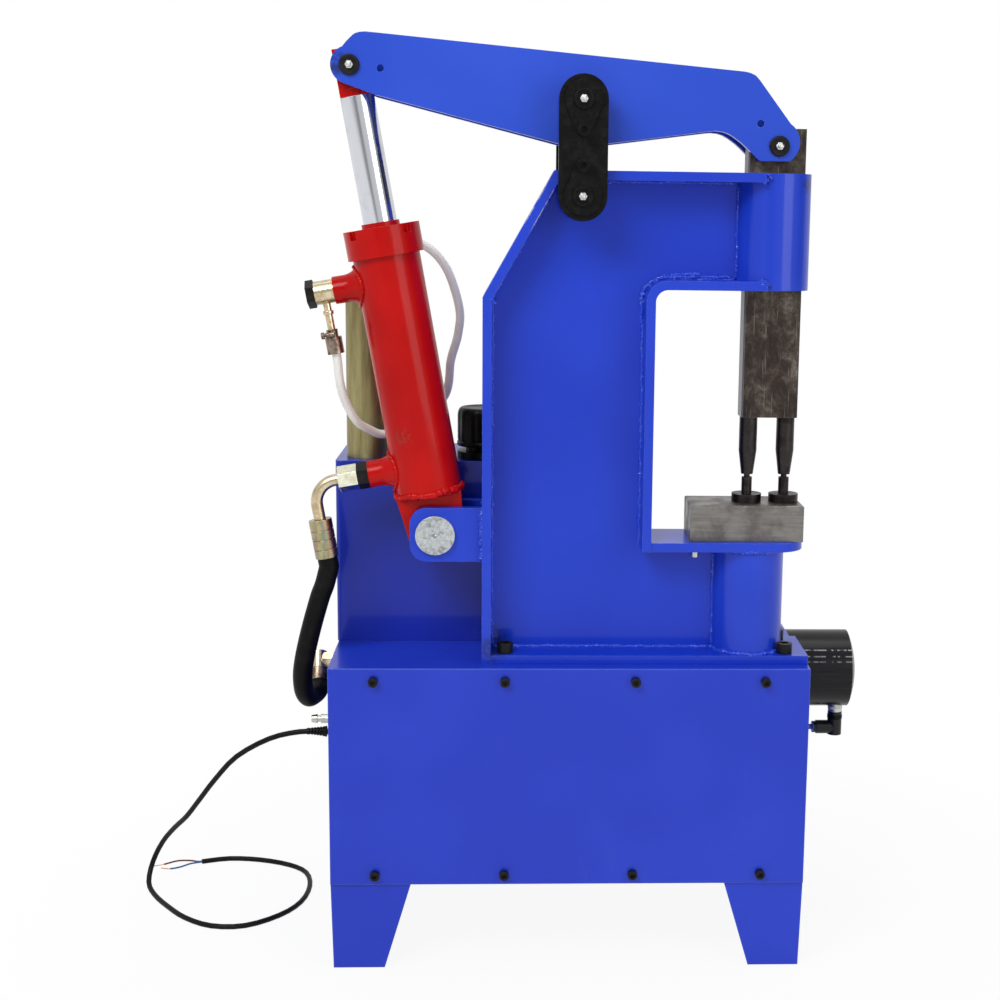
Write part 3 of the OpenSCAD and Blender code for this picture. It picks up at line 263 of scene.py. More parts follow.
def blue_enamel(name, low, high, edge, chips=0.0, rim=0.45, smears=(), bare_at=(), glints=0.0):
    """Bright blue machine enamel: a little orange peel, dust, chipped edges, painted highlights
    along the edges, painted glints on weld beads and smears of grease.
    """
    f = Finish(name, "blue_enamel", coat=0.30, gloss=0.20)
    colour = f.mix(f.cloud(260, 2).between(0.35, 0.68), low, high)
    smear = f.cloud(45, 5, 0.65, f.stretched(1, 1, 0.25), 0.6).between(0.60, 0.78)
    colour = f.mix(smear * 0.10, colour, (0.07, 0.12, 0.55))
    specks = f.cells(9).between(0.05, 0.0) * f.cloud(30).between(0.52, 0.7)
    colour = f.mix(specks * 0.35, colour, (0.30, 0.34, 0.55))
    # Painted highlight: a lighter blue along the edges, broken into patches by noise when its share
    # is under 0.6.
    patch_mask = f.cloud(14, 4, 0.7).between(0.30, 0.62) if rim < 0.6 else 1
    colour = f.mix(f.edges(edge) * patch_mask * rim, colour, (0.13, 0.24, 0.80))
    if chips:
        flakes = f.cloud(7, 4, 0.75).between(0.60 - 0.15 * chips, 0.66)
        colour = f.mix(f.edges(edge * 0.7, 0.10, 0.3) * flakes, colour, (0.42, 0.41, 0.36))
    for x, z, inner, outer in bare_at:
        knocks = f.beside(x, z, inner, outer) * f.cloud(9, 4, 0.7).between(0.40, 0.46)
        colour = f.mix(f.edges(2.6, 0.02, 0.12) * knocks, colour, (0.62, 0.62, 0.58))
    for x, z, inner, outer in smears:
        grease = f.beside(x, z, inner, outer) * f.cloud(7, 4, 0.7).between(0.38, 0.56)
        colour = f.mix(grease * 0.75, colour, (0.012, 0.014, 0.035))
    # Painted highlights: small pale specks on the weld beads.
    if glints:
        glint_specks = f.cloud(2.2, 3, 0.7).between(0.58, 0.66)
        colour = f.mix(glint_specks * glints, colour, (0.42, 0.55, 0.95))
    f.set(Base_Color=colour, Roughness=0.28 + 0.12 * f.cloud(60, 4) + 0.15 * smear)
    f.bump(f.cloud(2.2, 2) + 0.5 * f.cloud(30, 2), 0.05, 0.5, edge)
    return f


def red_enamel():
    """Glossy red enamel of the cylinder, brushed on thickly, with dark scuffs."""
    f = Finish("red_enamel", "red_enamel", coat=0.12, gloss=0.10)
    tone = f.cloud(120, 3).between(0.3, 0.7)
    colour = f.mix(tone, (0.40, 0.0015, 0.001), (0.50, 0.004, 0.003))
    scuff = f.cloud(9, 6, 0.75).between(0.66, 0.74) * f.cloud(70, 2).between(0.52, 0.64)
    colour = f.mix(scuff * 0.6, colour, (0.10, 0.03, 0.03))
    patch_mask = f.cloud(4, 5, 0.75).between(0.50, 0.56) * f.beside(-221, 722, 7, 15)
    colour = f.mix(patch_mask * 0.6, colour, (0.16, 0.05, 0.04))
    # Painted highlight: a lighter red along the edges, in patches.
    edge_patches = f.edges(1.2) * f.cloud(10, 4, 0.7).between(0.42, 0.6)
    colour = f.mix(edge_patches * 0.4, colour, (0.75, 0.16, 0.13))
    f.set(Base_Color=colour, Roughness=0.18 + 0.10 * f.cloud(40, 4))
    f.bump(f.cloud(3, 2) + f.cloud(22, 3), 0.09, 0.5, 1.2)
    return f


def steel(name, slot, light, dark, roughness, grain=(1, 1, 1), size=3.0, edge=0.6, pits=0.0):
    """Bare or plated steel with a grain, soft blotches and painted highlights along its edges."""
    f = Finish(name, slot, metal=1.0)
    lines = f.cloud(size, 5, 0.7, f.stretched(*grain))
    blotch = f.cloud(28, 4, 0.6).between(0.38, 0.68)
    colour = f.mix(blotch, light, dark)
    colour = f.mix(lines.between(0.35, 0.7) * 0.4, colour, tuple(c * 0.55 for c in dark))
    height = lines
    if pits:
        pit = f.cloud(6, 5, 0.8).between(0.60, 0.68) * f.cloud(34, 3).between(0.45, 0.62)
        colour = f.mix(pit * pits, colour, (0.035, 0.030, 0.028))
        height = lines - 2.0 * pit
    # Painted highlight: the edges lighter than the light tone.
    colour = f.mix(f.edges(edge) * 0.4, colour, tuple(min(1.0, c * 1.5) for c in light))
    f.set(Base_Color=colour, Roughness=roughness + 0.18 * blotch + 0.12 * lines)
    f.bump(height, 0.03 + 0.03 * pits, 0.5, edge)
    return f


def hard_chrome():
    """The piston rod: bright chrome with fine lines along it and a film of oil."""
    f = Finish("hard_chrome", "hard_chrome", metal=1.0)
    lines = f.cloud(1.2, 3, 0.6, f.stretched(1, 1, 0.02))
    oil = f.cloud(30, 4).between(0.5, 0.75)
    f.set(Base_Color=f.mix(oil * 0.3, (0.66, 0.67, 0.72), (0.46, 0.46, 0.51)),
          Roughness=0.09 + 0.05 * lines + 0.10 * oil)
    f.bump(lines, 0.01, 0.3, 0.4)
    return f


def black_steel(name="black_oxide", base=0.005, roughness=0.34, grease=0.0):
    """Blackened steel, oily in patches."""
    f = Finish(name, "black_oxide", gloss=0.10 if grease else 0.20)
    oil = f.cloud(12, 5, 0.65).between(0.45, 0.65)
    colour = f.mix(oil, (base, base, base * 1.1), (base * 2.2, base * 2.1, base * 2.1))
    edge_patches = f.edges(0.7) * f.cloud(6, 4, 0.7).between(0.4, 0.65)
    colour = f.mix(edge_patches * (0.25 if grease else 0.45), colour, (0.12, 0.11, 0.10))
    height = f.cloud(2, 3)
    if grease:
        smear = f.cloud(16, 5, 0.7, twist=1.2).between(0.42, 0.62)
        height = height + 2.5 * smear
        f.set(Roughness=roughness - 0.16 * smear)
    else:
        f.set(Roughness=roughness + 0.15 * oil)
    f.set(Base_Color=colour)
    f.bump(height, 0.06 + 0.06 * grease, 0.6, 0.7)
    return f


def mill_scale():
    """Hot-rolled bar: brown-grey scale in blotches, bright scratches, rust, and lighter grey on its
    left-facing side.
    """
    f = Finish("mill_scale", "mill_scale", metal=0.6)
    patches = f.cloud(30, 9, 0.78, f.stretched(1.2, 1, 0.9), 0.25)
    colour = f.stops(patches, (0.34, (0.013, 0.009, 0.007)), (0.46, (0.030, 0.020, 0.016)),
                     (0.55, (0.062, 0.048, 0.038)), (0.66, (0.17, 0.145, 0.12)))
    rust = f.cloud(5, 5, 0.7).between(0.55, 0.68) * f.cloud(40, 3).between(0.42, 0.58)
    colour = f.mix(rust * 0.7, colour, (0.060, 0.026, 0.012))
    scratch = f.cloud(1.6, 3, 0.6, f.stretched(1, 1, 0.03)).between(0.60, 0.70)
    colour = f.mix(scratch * 0.35, colour, (0.35, 0.33, 0.31))
    # Lighter grey where the surface faces left.
    normal = f.add("ShaderNodeNewGeometry", out="Normal")
    side = f.add("ShaderNodeSeparateXYZ", {}, {0: normal}, out="X")
    colour = f.mix(side.between(-0.5, -0.9) * 0.75, colour, (0.34, 0.33, 0.32))
    bare = f.edges(1.0) * f.cloud(10, 4).between(0.3, 0.55)
    colour = f.mix(bare * 0.8, colour, (0.42, 0.40, 0.38))
    f.set(Base_Color=colour, Roughness=0.36 + 0.25 * patches)
    f.bump(patches + 0.4 * f.cloud(2, 3), 0.12, 0.5, 1.0)
    return f


def spangled_zinc():
    """Hot-dip zinc on the pin's head: flakes, a painted highlight round the rim, mottling, and a
    centre-punch mark painted as a bright highlight in a ring of painted shade.
    """
    f = Finish("spangled_zinc", "galvanised", metal=1.0)
    flake = f.add("ShaderNodeRGBToBW", {}, {0: f.cells(2.6, out="Color")})
    colour = f.mix(flake, (0.44, 0.47, 0.49), (0.64, 0.67, 0.68))
    colour = f.mix(f.cloud(8, 6, 0.78).between(0.48, 0.64) * 0.65, colour, (0.17, 0.18, 0.19))
    colour = f.mix(f.cloud(2.4, 4, 0.7).between(0.62, 0.72) * 0.6, colour, (0.85, 0.86, 0.86))
    # Painted highlight along the rim.
    colour = f.mix(f.edges(1.2) * 0.8, colour, (0.85, 0.85, 0.85))
    # Painted shade: a dark ring round the centre mark, and a painted highlight at its middle.
    colour = f.mix(f.beside(*cylinder_pin, 2.4, 3.6) * 0.6, colour, (0.10, 0.10, 0.11))
    centre_highlight = f.beside(cylinder_pin[0] + 1, cylinder_pin[1] + 0.6, 0.8, 1.6)
    colour = f.mix(centre_highlight, colour, (0.95, 0.95, 0.95))
    f.set(Base_Color=colour, Roughness=0.30 + 0.25 * flake)
    f.bump(flake + f.cloud(3, 3), 0.06, 0.6, 1.2)
    return f


def gold_zinc(name, light, dark, roughness, slot="gold_zinc", bands=0.0):
    """Yellow-passivated zinc plating on fittings, with rainbow bands where it is thick."""
    f = Finish(name, slot, metal=1.0)
    tone = f.cloud(11, 4, 0.6).between(0.35, 0.65)
    colour = f.mix(tone, light, dark)
    if bands:
        hue = f.cloud(10, 2, 0.4, f.stretched(1.6, 1.6, 0.12))
        rainbow = f.stops(hue, (0.36, (0.50, 0.34, 0.12)), (0.46, (0.40, 0.20, 0.22)),
                          (0.54, (0.24, 0.36, 0.30)), (0.64, (0.52, 0.46, 0.22)))
        colour = f.mix(bands, colour, rainbow)
    colour = f.mix(f.cloud(4, 5, 0.7).between(0.62, 0.74) * 0.6, colour, (0.18, 0.12, 0.07))
    # Painted highlight: a pale colour along the edges.
    colour = f.mix(f.edges(0.8) * 0.5, colour, (0.85, 0.82, 0.70))
    f.set(Base_Color=colour, Roughness=roughness + 0.14 * tone)
    f.bump(f.cloud(9, 2), 0.02, 0.3, 0.8)
    return f


def drawn_brass():
    """The return pot: dull olive-gold plating with runs down its length."""
    f = Finish("olive_plating", "olive_plating", metal=0.85)
    runs = f.cloud(14, 5, 0.65, f.stretched(1, 1, 0.12))
    colour = f.stops(runs, (0.32, (0.19, 0.15, 0.065)), (0.5, (0.30, 0.255, 0.115)),
                     (0.68, (0.40, 0.36, 0.18)))
    f.set(Base_Color=colour, Roughness=0.36 + 0.15 * runs)
    f.bump(f.cloud(2, 3), 0.03, 0.4, 1.0)
    return f


def black_rubber(name="black_rubber", size=1.1, base=0.004, roughness=0.45):
    """Black rubber with a fine grain of size millimetres and a film of dust."""
    f = Finish(name, "black_rubber", gloss=0.10)
    dust = f.cloud(16, 4, 0.6).between(0.5, 0.75)
    f.set(Base_Color=f.mix(dust * 0.5, (base, base, base), (base * 4, base * 3.8, base * 3.6)),
          Roughness=roughness + 0.15 * dust)
    f.bump(f.cloud(size, 2) + 0.5 * f.cells(size * 2), 0.08, 0.4)
    return f


def milky_tube():
    """Clear hose gone milky, with oil inside."""
    f = Finish("milky_tube", "clear_hose")
    haze = f.cloud(18, 3).between(0.35, 0.7)
    f.set(Base_Color=f.mix(haze, (0.95, 0.94, 0.90), (0.88, 0.87, 0.82)),
          Roughness=0.16 + 0.12 * haze)
    f.surface.inputs["Transmission Weight"].default_value = 0.12
    f.surface.inputs["IOR"].default_value = 1.4
    f.bump(f.cloud(20, 2), 0.05, 0.4)
    return f


def plastic(name, slot, colour, roughness=0.35, edge=0.4, gloss=0.4):
    """Moulded plastic of one colour, a little uneven."""
    f = Finish(name, slot, gloss=gloss)
    tone = f.cloud(8, 4).between(0.3, 0.7)
    lighter = tuple(min(1.0, c * 1.5 + 0.003) for c in colour)
    f.set(Base_Color=f.mix(tone * 0.5, colour, lighter), Roughness=roughness + 0.12 * tone)
    f.bump(f.cloud(0.8, 2), 0.03, 0.4, edge)
    return f


def gloss_black():
    """The air cylinder: black anodised tube, fine scratched lines, painted reflections in three
    broken bands and a chipped silver rim.
    """
    f = Finish("gloss_black", "black_plastic", coat=0.05, gloss=0.18)
    lines = f.cloud(1.5, 3, 0.6, f.stretched(0.04, 1, 1))
    chips = f.edges(2.4, 0.04, 0.25) * f.cloud(5, 5, 0.75).between(0.40, 0.54)
    height = f.up()
    dashes = f.cloud(6, 3, 0.7, f.stretched(1, 0.2, 0.2)).between(0.44, 0.52)
    # Painted reflections: three level bands of pale grey, broken into dashes.
    painted_reflections = 0
    for z, strength in ((0.396, 0.8), (0.388, 0.6), (0.381, 0.45)):
        over = height.between(z - 0.0012, z - 0.0002)
        under = height.between(z + 0.0012, z + 0.0002)
        painted_reflections = painted_reflections + strength * (over * under)
    colour = f.mix(lines.between(0.4, 0.7) * 0.5, (0.006, 0.006, 0.007), (0.018, 0.018, 0.020))
    colour = f.mix(painted_reflections * dashes, colour, (0.50, 0.50, 0.52))
    f.set(Base_Color=f.mix(chips, colour, (0.6, 0.6, 0.6)), Roughness=0.20 + 0.12 * lines)
    f.bump(lines, 0.02, 0.3, 2.5)
    return f


# ------------------------------------------------------------------ shapes

def angles(count, closed=False):
    """Even steps of a full turn; closed ends on the angle that it began at."""
    return [2 * math.pi * k / count for k in range(count + closed)]


def make(name, bm, finish, body, sharp=40):
    """A finished piece of the drawn faces that moves with a body."""
    bmesh.ops.recalc_face_normals(bm, faces=bm.faces)
    mesh = bpy.data.meshes.new(name)
    bm.to_mesh(mesh)
    bm.free()
    mesh.materials.append(finish.material)
    for face in mesh.polygons:
        face.use_smooth = True
    mesh.set_sharp_from_angle(angle=math.radians(sharp))
    piece = bpy.data.objects.new(name, mesh)
    bpy.context.collection.objects.link(piece)
    if body:
        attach(piece, body)
    return piece


def skin(bm, rings):
    """Faces from ring to ring, with both ends closed."""
    count = len(rings[0])
    for one, two in zip(rings, rings[1:]):
        for k in range(count):
            n = (k + 1) % count
            bm.faces.new((one[k], one[n], two[n], two[k]))
    bm.faces.new(list(reversed(rings[0])))
    bm.faces.new(rings[-1])


def smooth_path(points, steps):
    """The curve that part.scad lays through the same points."""
    out = []
    for i in range(len(points) - 1):
        a, b = points[max(i - 1, 0)], points[i]
        c, d = points[i + 1], points[min(i + 2, len(points) - 1)]
        for j in range(steps):
            t = j / steps
            out.append(0.5 * (2 * b + (c - a) * t + (2 * a - 5 * b + 4 * c - d) * t * t
                              + (3 * b - a - 3 * c + d) * t * t * t))
    return out + [points[-1]]


def add_tube(bm, path, radius, sides=16):
    """A closed tube along a path; radius is a number or a function of the ring's index."""
    start_way = (path[1] - path[0]).normalized()
    last = Vector((0, 0, 1)) if abs(start_way.z) < 0.9 else Vector((1, 0, 0))
    rings = []
    for i, point in enumerate(path):
        ahead = (path[min(i + 1, len(path) - 1)] - path[max(i - 1, 0)]).normalized()
        last = (last - ahead * last.dot(ahead)).normalized()
        other = ahead.cross(last)
        r = radius(i) if callable(radius) else radius
        rings.append([bm.verts.new(point + r * (math.cos(a) * last + math.sin(a) * other))
                      for a in angles(sides)])
    skin(bm, rings)


def tube(name, path, radius, finish, body, sides=32):
    """A finished tube along a path."""
    bm = bmesh.new()
    add_tube(bm, path, radius, sides)
    return make(name, bm, finish, body)


def turned(name, turnings, finish, body, sides=48):
    """Pieces turned on a lathe: each is (place, axis, [(radius, height), ...]) in millimetres."""
    bm = bmesh.new()
    for place, axis, profile in turnings:
        turn = Vector(axis).to_track_quat("Z", "Y").to_matrix()
        skin(bm, [[bm.verts.new(place + turn @ Vector((r * mm * math.cos(a), r * mm * math.sin(a),
                                                       h * mm)))
                   for a in angles(sides)] for r, h in profile])
    make(name, bm, finish, body, 32)


def evenly(path, step):
    """The path's points again, step apart."""
    out, rest = [path[0]], step
    for a, b in zip(path, path[1:]):
        length = (b - a).length
        while length > 0 and rest <= length:
            out.append(a.lerp(b, rest / length))
            rest += step
        rest -= length
    return out


def weld(name, runs, size, finish, body, seed):
    """Painted weld beads: rippled, uneven ropes of metal that lie in the corners."""
    dice = random.Random(seed)
    noise.seed_set(seed)  # without a seed noise_vector takes its offsets from the clock
    bead_step, thinnest, growth = 0.0014, 0.45, 0.2
    bm = bmesh.new()
    for run in runs:
        path = evenly(run, bead_step)
        if len(path) < 3:
            continue
        phase, pitch = dice.uniform(0, 6), dice.uniform(3.4, 4.6)
        shift = Vector([dice.uniform(-90, 90) for _ in range(3)])
        sizes = []
        for i, p in enumerate(path):
            ripple = 0.22 * abs(math.sin(phase + i * math.pi / pitch))
            lump = 0.40 * noise.noise(p * 130 + shift) + 0.30 * noise.noise(p * 420 + shift)
            grown = min(1, thinnest + growth * min(i, len(path) - 1 - i))
            sizes.append(size * mm * (0.85 + ripple + lump) * grown)
            path[i] = p + 0.35 * size * mm * noise.noise_vector(p * 90 + shift)
        add_tube(bm, path, lambda i: sizes[i], 10)
    make(name, bm, finish, body, 60)


def circle_run(centre, radius):
    """Level circle round a place in millimetres, in 60 steps."""
    return [at(centre[0] + radius * math.cos(a), centre[1] + radius * math.sin(a), centre[2])
            for a in (math.radians(360 * k / 60) for k in range(61))]


def dress(finish, *names):
    """Gives CAD pieces a finish."""
    for name in names:
        nodes[name].data.materials.clear()
        nodes[name].data.materials.append(finish.material)


# ------------------------------------------------------------------ camera and cord first

set_camera()

cord_rubber = black_rubber("cord_sheath", 0.8, 0.008, 0.36)
cord_route = [Vector(p) for p in (
    (-336, 140, 290), (-376, 141, 289), (-420, 150, 276), (-470, 170, 243), (-505, 190, 202),
    (-532, 211, 164), (-556, 233, 130), (-580, 260, 102), (-603, 283, 71), (-620, 290, 37),
    (-623, 271, 12), (-608, 240, 5), (-580, 199, 4), (-547, 159, 4), (-505, 131, 4),
    (-457, 131, 4), (-413, 166, 4), (-388, 213, 4), (-382, 272, 4), (-394, 324, 4),
    (-424, 355, 4), (-472, 376, 4), (-521, 382, 4), (-562, 370, 4))]
core_turns = [[Vector(p) for p in turn] for turn in (
    ((-582, 372, 5), (-600, 368, 6), (-618, 357, 5), (-634, 352, 4)),
    ((-579, 361, 4), (-592, 351, 3), (-606, 344, 3), (-621, 347, 3)))]
core_colours = (("brown_core", (0.10, 0.028, 0.012)), ("blue_core", (0.02, 0.11, 0.30)))
lead_r, core_r, strand_r = 3.8 * mm, 1.3 * mm, 0.75 * mm


def relief_radius(i):
    """The strain relief narrows towards the lead, with a groove at every fifth ring."""
    groove = 0.9 if i % 5 in (3, 4) and 4 < i < 32 else 0
    return mm * (7.9 - 3.4 * (i / 35) ** 0.8 - groove)


def power_cord():
    """The black mains lead on the floor, with its two cores bared at the end."""
    path = [at(*p) for p in smooth_path(cord_route, 3)]
    curve = bpy.data.curves.new("power_lead", "CURVE")
    curve.dimensions = "3D"
    curve.bevel_depth = lead_r
    curve.bevel_resolution = 6
    curve.use_fill_caps = True
    spline = curve.splines.new("POLY")
    spline.points.add(len(path) - 1)
    for point, place in zip(spline.points, path):
        point.co = (*place, 1)
    curve.materials.append(cord_rubber.material)
    lead = bpy.data.objects.new("power_lead", curve)
    bpy.context.collection.objects.link(lead)
    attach(lead, "base")
    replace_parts(lead, "power_cord")
    tip = cord_route[-1]
    way = (tip - cord_route[-2]).normalized()
    side = Vector((way.y, -way.x, 0))
    taper = [at(*p) for p in smooth_path(cord_route[:3], 8)]
    taper = evenly(taper, 0.0008)[2:38]
    cores = [tube("strain_relief", taper, relief_radius, cord_rubber, "base", 28)]
    copper = gold_zinc("copper_strands", (0.72, 0.38, 0.22), (0.48, 0.22, 0.12), 0.3, "core_wire")
    for k, (name, colour) in enumerate(core_colours):
        start = tip + way * 0.3 + side * (1.7 - 3.4 * k)
        route = [at(*p) for p in smooth_path([start, start + way * 5.2] + core_turns[k], 8)]
        bare = len(route) - 9
        sheath = plastic(name, "core_wire", colour)
        core = tube(name, route[:bare + 1], core_r, sheath, "base", 16)
        strands = tube(name + "_strands", route[bare:], strand_r, copper, "base", 10)
        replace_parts(core, "cord_cores")
        cores += [core, strands]


power_cord()

# ------------------------------------------------------------------ the CAD pieces' finishes

foot_smear, tube_smear, boss_smear = (-103, 440, 8, 26), (303, 1052, 4, 14), (8, 1072, 4, 16)
# The sheet's edges take the strongest painted highlight, along the cover's bent top edge.
sheet_blue = blue_enamel("blue_sheet", (0.010, 0.036, 0.50), (0.015, 0.047, 0.56), 3.0, rim=0.8)
tank_blue = blue_enamel("blue_tank", (0.006, 0.022, 0.36), (0.010, 0.030, 0.42), 2.0, rim=0.6)
# Painted light and shade: these are copies of one blue enamel. The frame's copy is made darker for
# the shade on the web, and the welds' and the lever's copies lighter for the light on them.
frame_blue = blue_enamel("blue_frame", (0.004, 0.034, 0.49), (0.008, 0.045, 0.55), 1.5, 0.6,
                         smears=(foot_smear, tube_smear, boss_smear))
flange_blue = blue_enamel("blue_flange", (0.007, 0.040, 0.52), (0.012, 0.050, 0.58), 1.6, 0.6, 0.55,
                          smears=(foot_smear,), bare_at=((-36, 1018, 22, 38),))
round_blue = blue_enamel("blue_round", (0.010, 0.044, 0.52), (0.015, 0.055, 0.58), 1.5, 0.6,
                         smears=(tube_smear,))
weld_blue = blue_enamel("blue_weld", (0.008, 0.044, 0.54), (0.014, 0.058, 0.60), 0.8, glints=0.55)
lever_blue = blue_enamel("blue_lever", (0.016, 0.064, 0.54), (0.024, 0.078, 0.60), 1.2, 1.0,
                         smears=((-305, 1197, 8, 20),), bare_at=((-262, 1246, 6, 14),))
red = red_enamel()
oxide = black_steel()
greasy = black_steel("greasy_black", 0.004, 0.38, 1.0)
ground = steel("ground_steel", "ground_steel", (0.25, 0.24, 0.225), (0.155, 0.145, 0.135), 0.30,
               (0.05, 1, 1), 2.0, 1.0, pits=0.8)
dull = steel("turned_steel", "ground_steel", (0.20, 0.19, 0.185), (0.10, 0.095, 0.09), 0.34,
             (1, 1, 3), 2.0)
punch_steel = steel("hardened_steel", "hardened_steel", (0.050, 0.043, 0.042),
                    (0.020, 0.016, 0.016), 0.28, (1, 1, 2), 3.0)
zinc = steel("bright_zinc", "galvanised", (0.66, 0.66, 0.62), (0.50, 0.49, 0.42), 0.22)
gold = gold_zinc("gold_zinc", (0.76, 0.66, 0.46), (0.54, 0.42, 0.24), 0.20)
ferrule_gold = gold_zinc("ferrule_gold", (0.42, 0.36, 0.20), (0.26, 0.21, 0.11), 0.20, bands=0.55)
pale_gold = gold_zinc("pale_zinc", (0.92, 0.92, 0.74), (0.74, 0.73, 0.52), 0.16)
brown_zinc = gold_zinc("brown_zinc", (0.34, 0.28, 0.22), (0.12, 0.075, 0.05), 0.28)
cap_black = plastic("cap_black", "black_plastic", (0.002, 0.002, 0.0022), 0.28, 1.0, 0.12)
fitting_black = plastic("fitting_black", "black_plastic", (0.005, 0.005, 0.006), 0.26, 0.4, 0.3)

dress(sheet_blue, "cabinet", "side_cover", "legs")
dress(tank_blue, "oil_tank")
dress(frame_blue, "frame_web", "base_plate", "frame_boss")
dress(flange_blue, "back_flange", "top_flange", "throat_flange", "table_plate", "bracket_ears")
dress(round_blue, "guide_tube", "column")
dress(lever_blue, "lever_near", "lever_far", "lever_boss")
dress(red, "cylinder_barrel", "cylinder_eye", "cylinder_gland", "cylinder_ports", "rod_eye")
dress(oxide, "cover_screws", "frame_bolts", "lever_pins", "banjo_bolt", "port_adapter")
dress(greasy, "link_near", "link_far", "pin_keepers", "link_pins")
dress(ground, "anvil_block")
dress(dull, "guide_bushes", "piston")
dress(punch_steel, "anvils", "punches")
dress(zinc, "air_nipple", "air_inlet", "block_studs")
dress(spangled_zinc(), "cylinder_pin")
dress(hard_chrome(), "piston_rod")
dress(mill_scale(), "ram")
dress(gold, "banjo", "hose_pipe", "wall_adapter")
dress(ferrule_gold, "hose_ferrule")
dress(brown_zinc, "hose_clamp", "wall_ferrule")
dress(pale_gold, "hose_nut")
dress(drawn_brass(), "return_pot")
dress(cap_black, "filler_neck", "filler_cap")
dress(gloss_black(), "air_cylinder")
dress(fitting_black, "air_elbow", "cord_gland")
dress(plastic("tube_blue", "blue_tube", (0.02, 0.08, 0.42), 0.3), "air_tube")

# ------------------------------------------------------------------ hoses

wall_hub, wall_way = at(-352, 182, 381), Vector((2, -22, -29)).normalized()
hose_end = wall_hub + wall_way * 31 * mm


def run_between(start, end, drop, shares, straight, tail):
    """The smooth route that part.scad gives a hose: straight at both its ends."""
    points = [start + down * d * mm for d in straight]
    points += [start + Vector(s) * drop for s in shares] + [end + tail]
    return [start] + smooth_path(points, 8) + [end]


def pressure_hose():
    """The black hose from the cabinet's left wall to the cylinder's lower port."""
    start = on_cylinder(*hose_mouth)
    shares = ((-0.02, 0.005, -0.19), (-0.06, 0.015, -0.3), (-0.135, 0.025, -0.57),
              (-0.183, 0.054, -0.8), (-0.188, 0.113, -0.96), (-0.168, 0.2, -1.045),
              (-0.14, 0.294, -1.058), (-0.117, 0.352, -1.043))
    path = run_between(start, hose_end, start.z - hose_end.z, shares, (13.5,),
                       wall_way * 6.75 * mm)
    hose = tube("pressure_line", path, 13.4 * mm, black_rubber(), None, 40)
    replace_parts(hose, "pressure_hose")
    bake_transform(hose)


def return_tube():
    """The clear tube from the banjo's stem round behind the cylinder to the return pot."""
    start, end = on_cylinder(stem_out, 274.46), at(-279, 192, 925)
    shares = ((0.03, 0.045, -0.26), (0.055, 0.095, -0.38), (0.115, 0.16, -0.51),
              (0.19, 0.22, -0.575), (0.28, 0.28, -0.61), (0.47, 0.36, -0.565),
              (0.65, 0.38, -0.37), (0.685, 0.4, -0.155), (0.73, 0.415, 0.01),
              (0.735, 0.425, 0.175), (0.65, 0.445, 0.42), (0.505, 0.48, 0.555),
              (0.33, 0.51, 0.57), (0.2, 0.523, 0.48))
    path = run_between(start, end, 0.22, shares, (14, 28), Vector((0, 0, 0.012)))
    line = tube("return_line", path, 5.9 * mm, milky_tube(), None, 24)
    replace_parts(line, "return_tube")
    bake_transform(line)


pressure_hose()
return_tube()

# ------------------------------------------------------------------ welds

def throat_arc(radius):
    """The throat's rounded inner corner at a radius, from its upright side to its roof."""
    return [(121.5 + radius * math.cos(a), 902 + radius * math.sin(a))
            for a in (math.radians(180 - 90 * k / 12) for k in range(13))]


def frame_welds():
    """Beads where the web meets its flanges, the tube, the column and the base, on both sides."""
    runs = []
    for y in web_faces:
        out = y - 0.6 if y < frame_mid else y + 0.6
        runs += [
            [at(x, out, base_top + 0.5) for x in (flange_in, column_side)],
            [at(x, out, z) for x, z in ((bend_low[0], base_top + 1), bend_low, bend_high,
                                        (tube_side, bend_high[1]))],
            [at(throat_in - 0.5, out, table_under + 1)]
            + [at(x - 0.3, out, z) for x, z in throat_arc(28.5)]
            + [at(tube_side, out, throat_roof + 0.4)],
            [at(tube_side + 0.6, out, z) for z in (throat_roof + 1, top_under - 1)],
            [at(column_side + 0.2, out, z) for z in (base_top + 1, table_under - 1)],
            [at(x, out, table_under - 0.4) for x in (throat_in + 1.5, column_side)]]
    weld("web_welds", runs, 2.6, weld_blue, "base", 4)
    rings = [circle_run((column_x, frame_mid, z), 49) for z in (base_top + 0.4, table_under - 0.4)]
    weld("column_welds", rings, 3.4, weld_blue, "base", 9)
    ear_low, ear_high = cylinder_pin[1] - 34.5, cylinder_pin[1] + 34.5
    ears = [[at(flange_out - 0.5, y, z) for z in (ear_low, ear_high)] for y in ear_faces]
    weld("ear_welds", ears, 4.6, weld_blue, "base", 12)
    blobs = []
    for x, y, z in ((238, 24.5, 921), (242, 24, 926), (246, 25, 922), (245, 26, 929),
                    (240, 25, 931), (249, 27, 926), (243, 26, 1058), (247, 27.4, 1062),
                    (245, 27, 1065), (240, 25, 1055), (-108, 23.4, 903), (-105, 24, 899)):
        blobs.append([at(x, y, z), at(x + 1.6, y - 0.4, z + 1.2), at(x + 3.2, y, z + 0.2),
                      at(x + 4.4, y + 0.5, z - 1)])
    weld("weld_ends", blobs, 3.0, weld_blue, "base", 21)
    front = web_faces[0] - 1
    ragged = [[at(91, front, 872)] + [at(x, front, z) for x, z in throat_arc(31)]
              + [at(208, front, 933.6)],
              [at(x, front - 0.4, z) for x, z in ((128, 936.5), (150, 937.5), (172, 936.2))]]
    weld("corner_weld", ragged, 3.2, weld_blue, "base", 27)


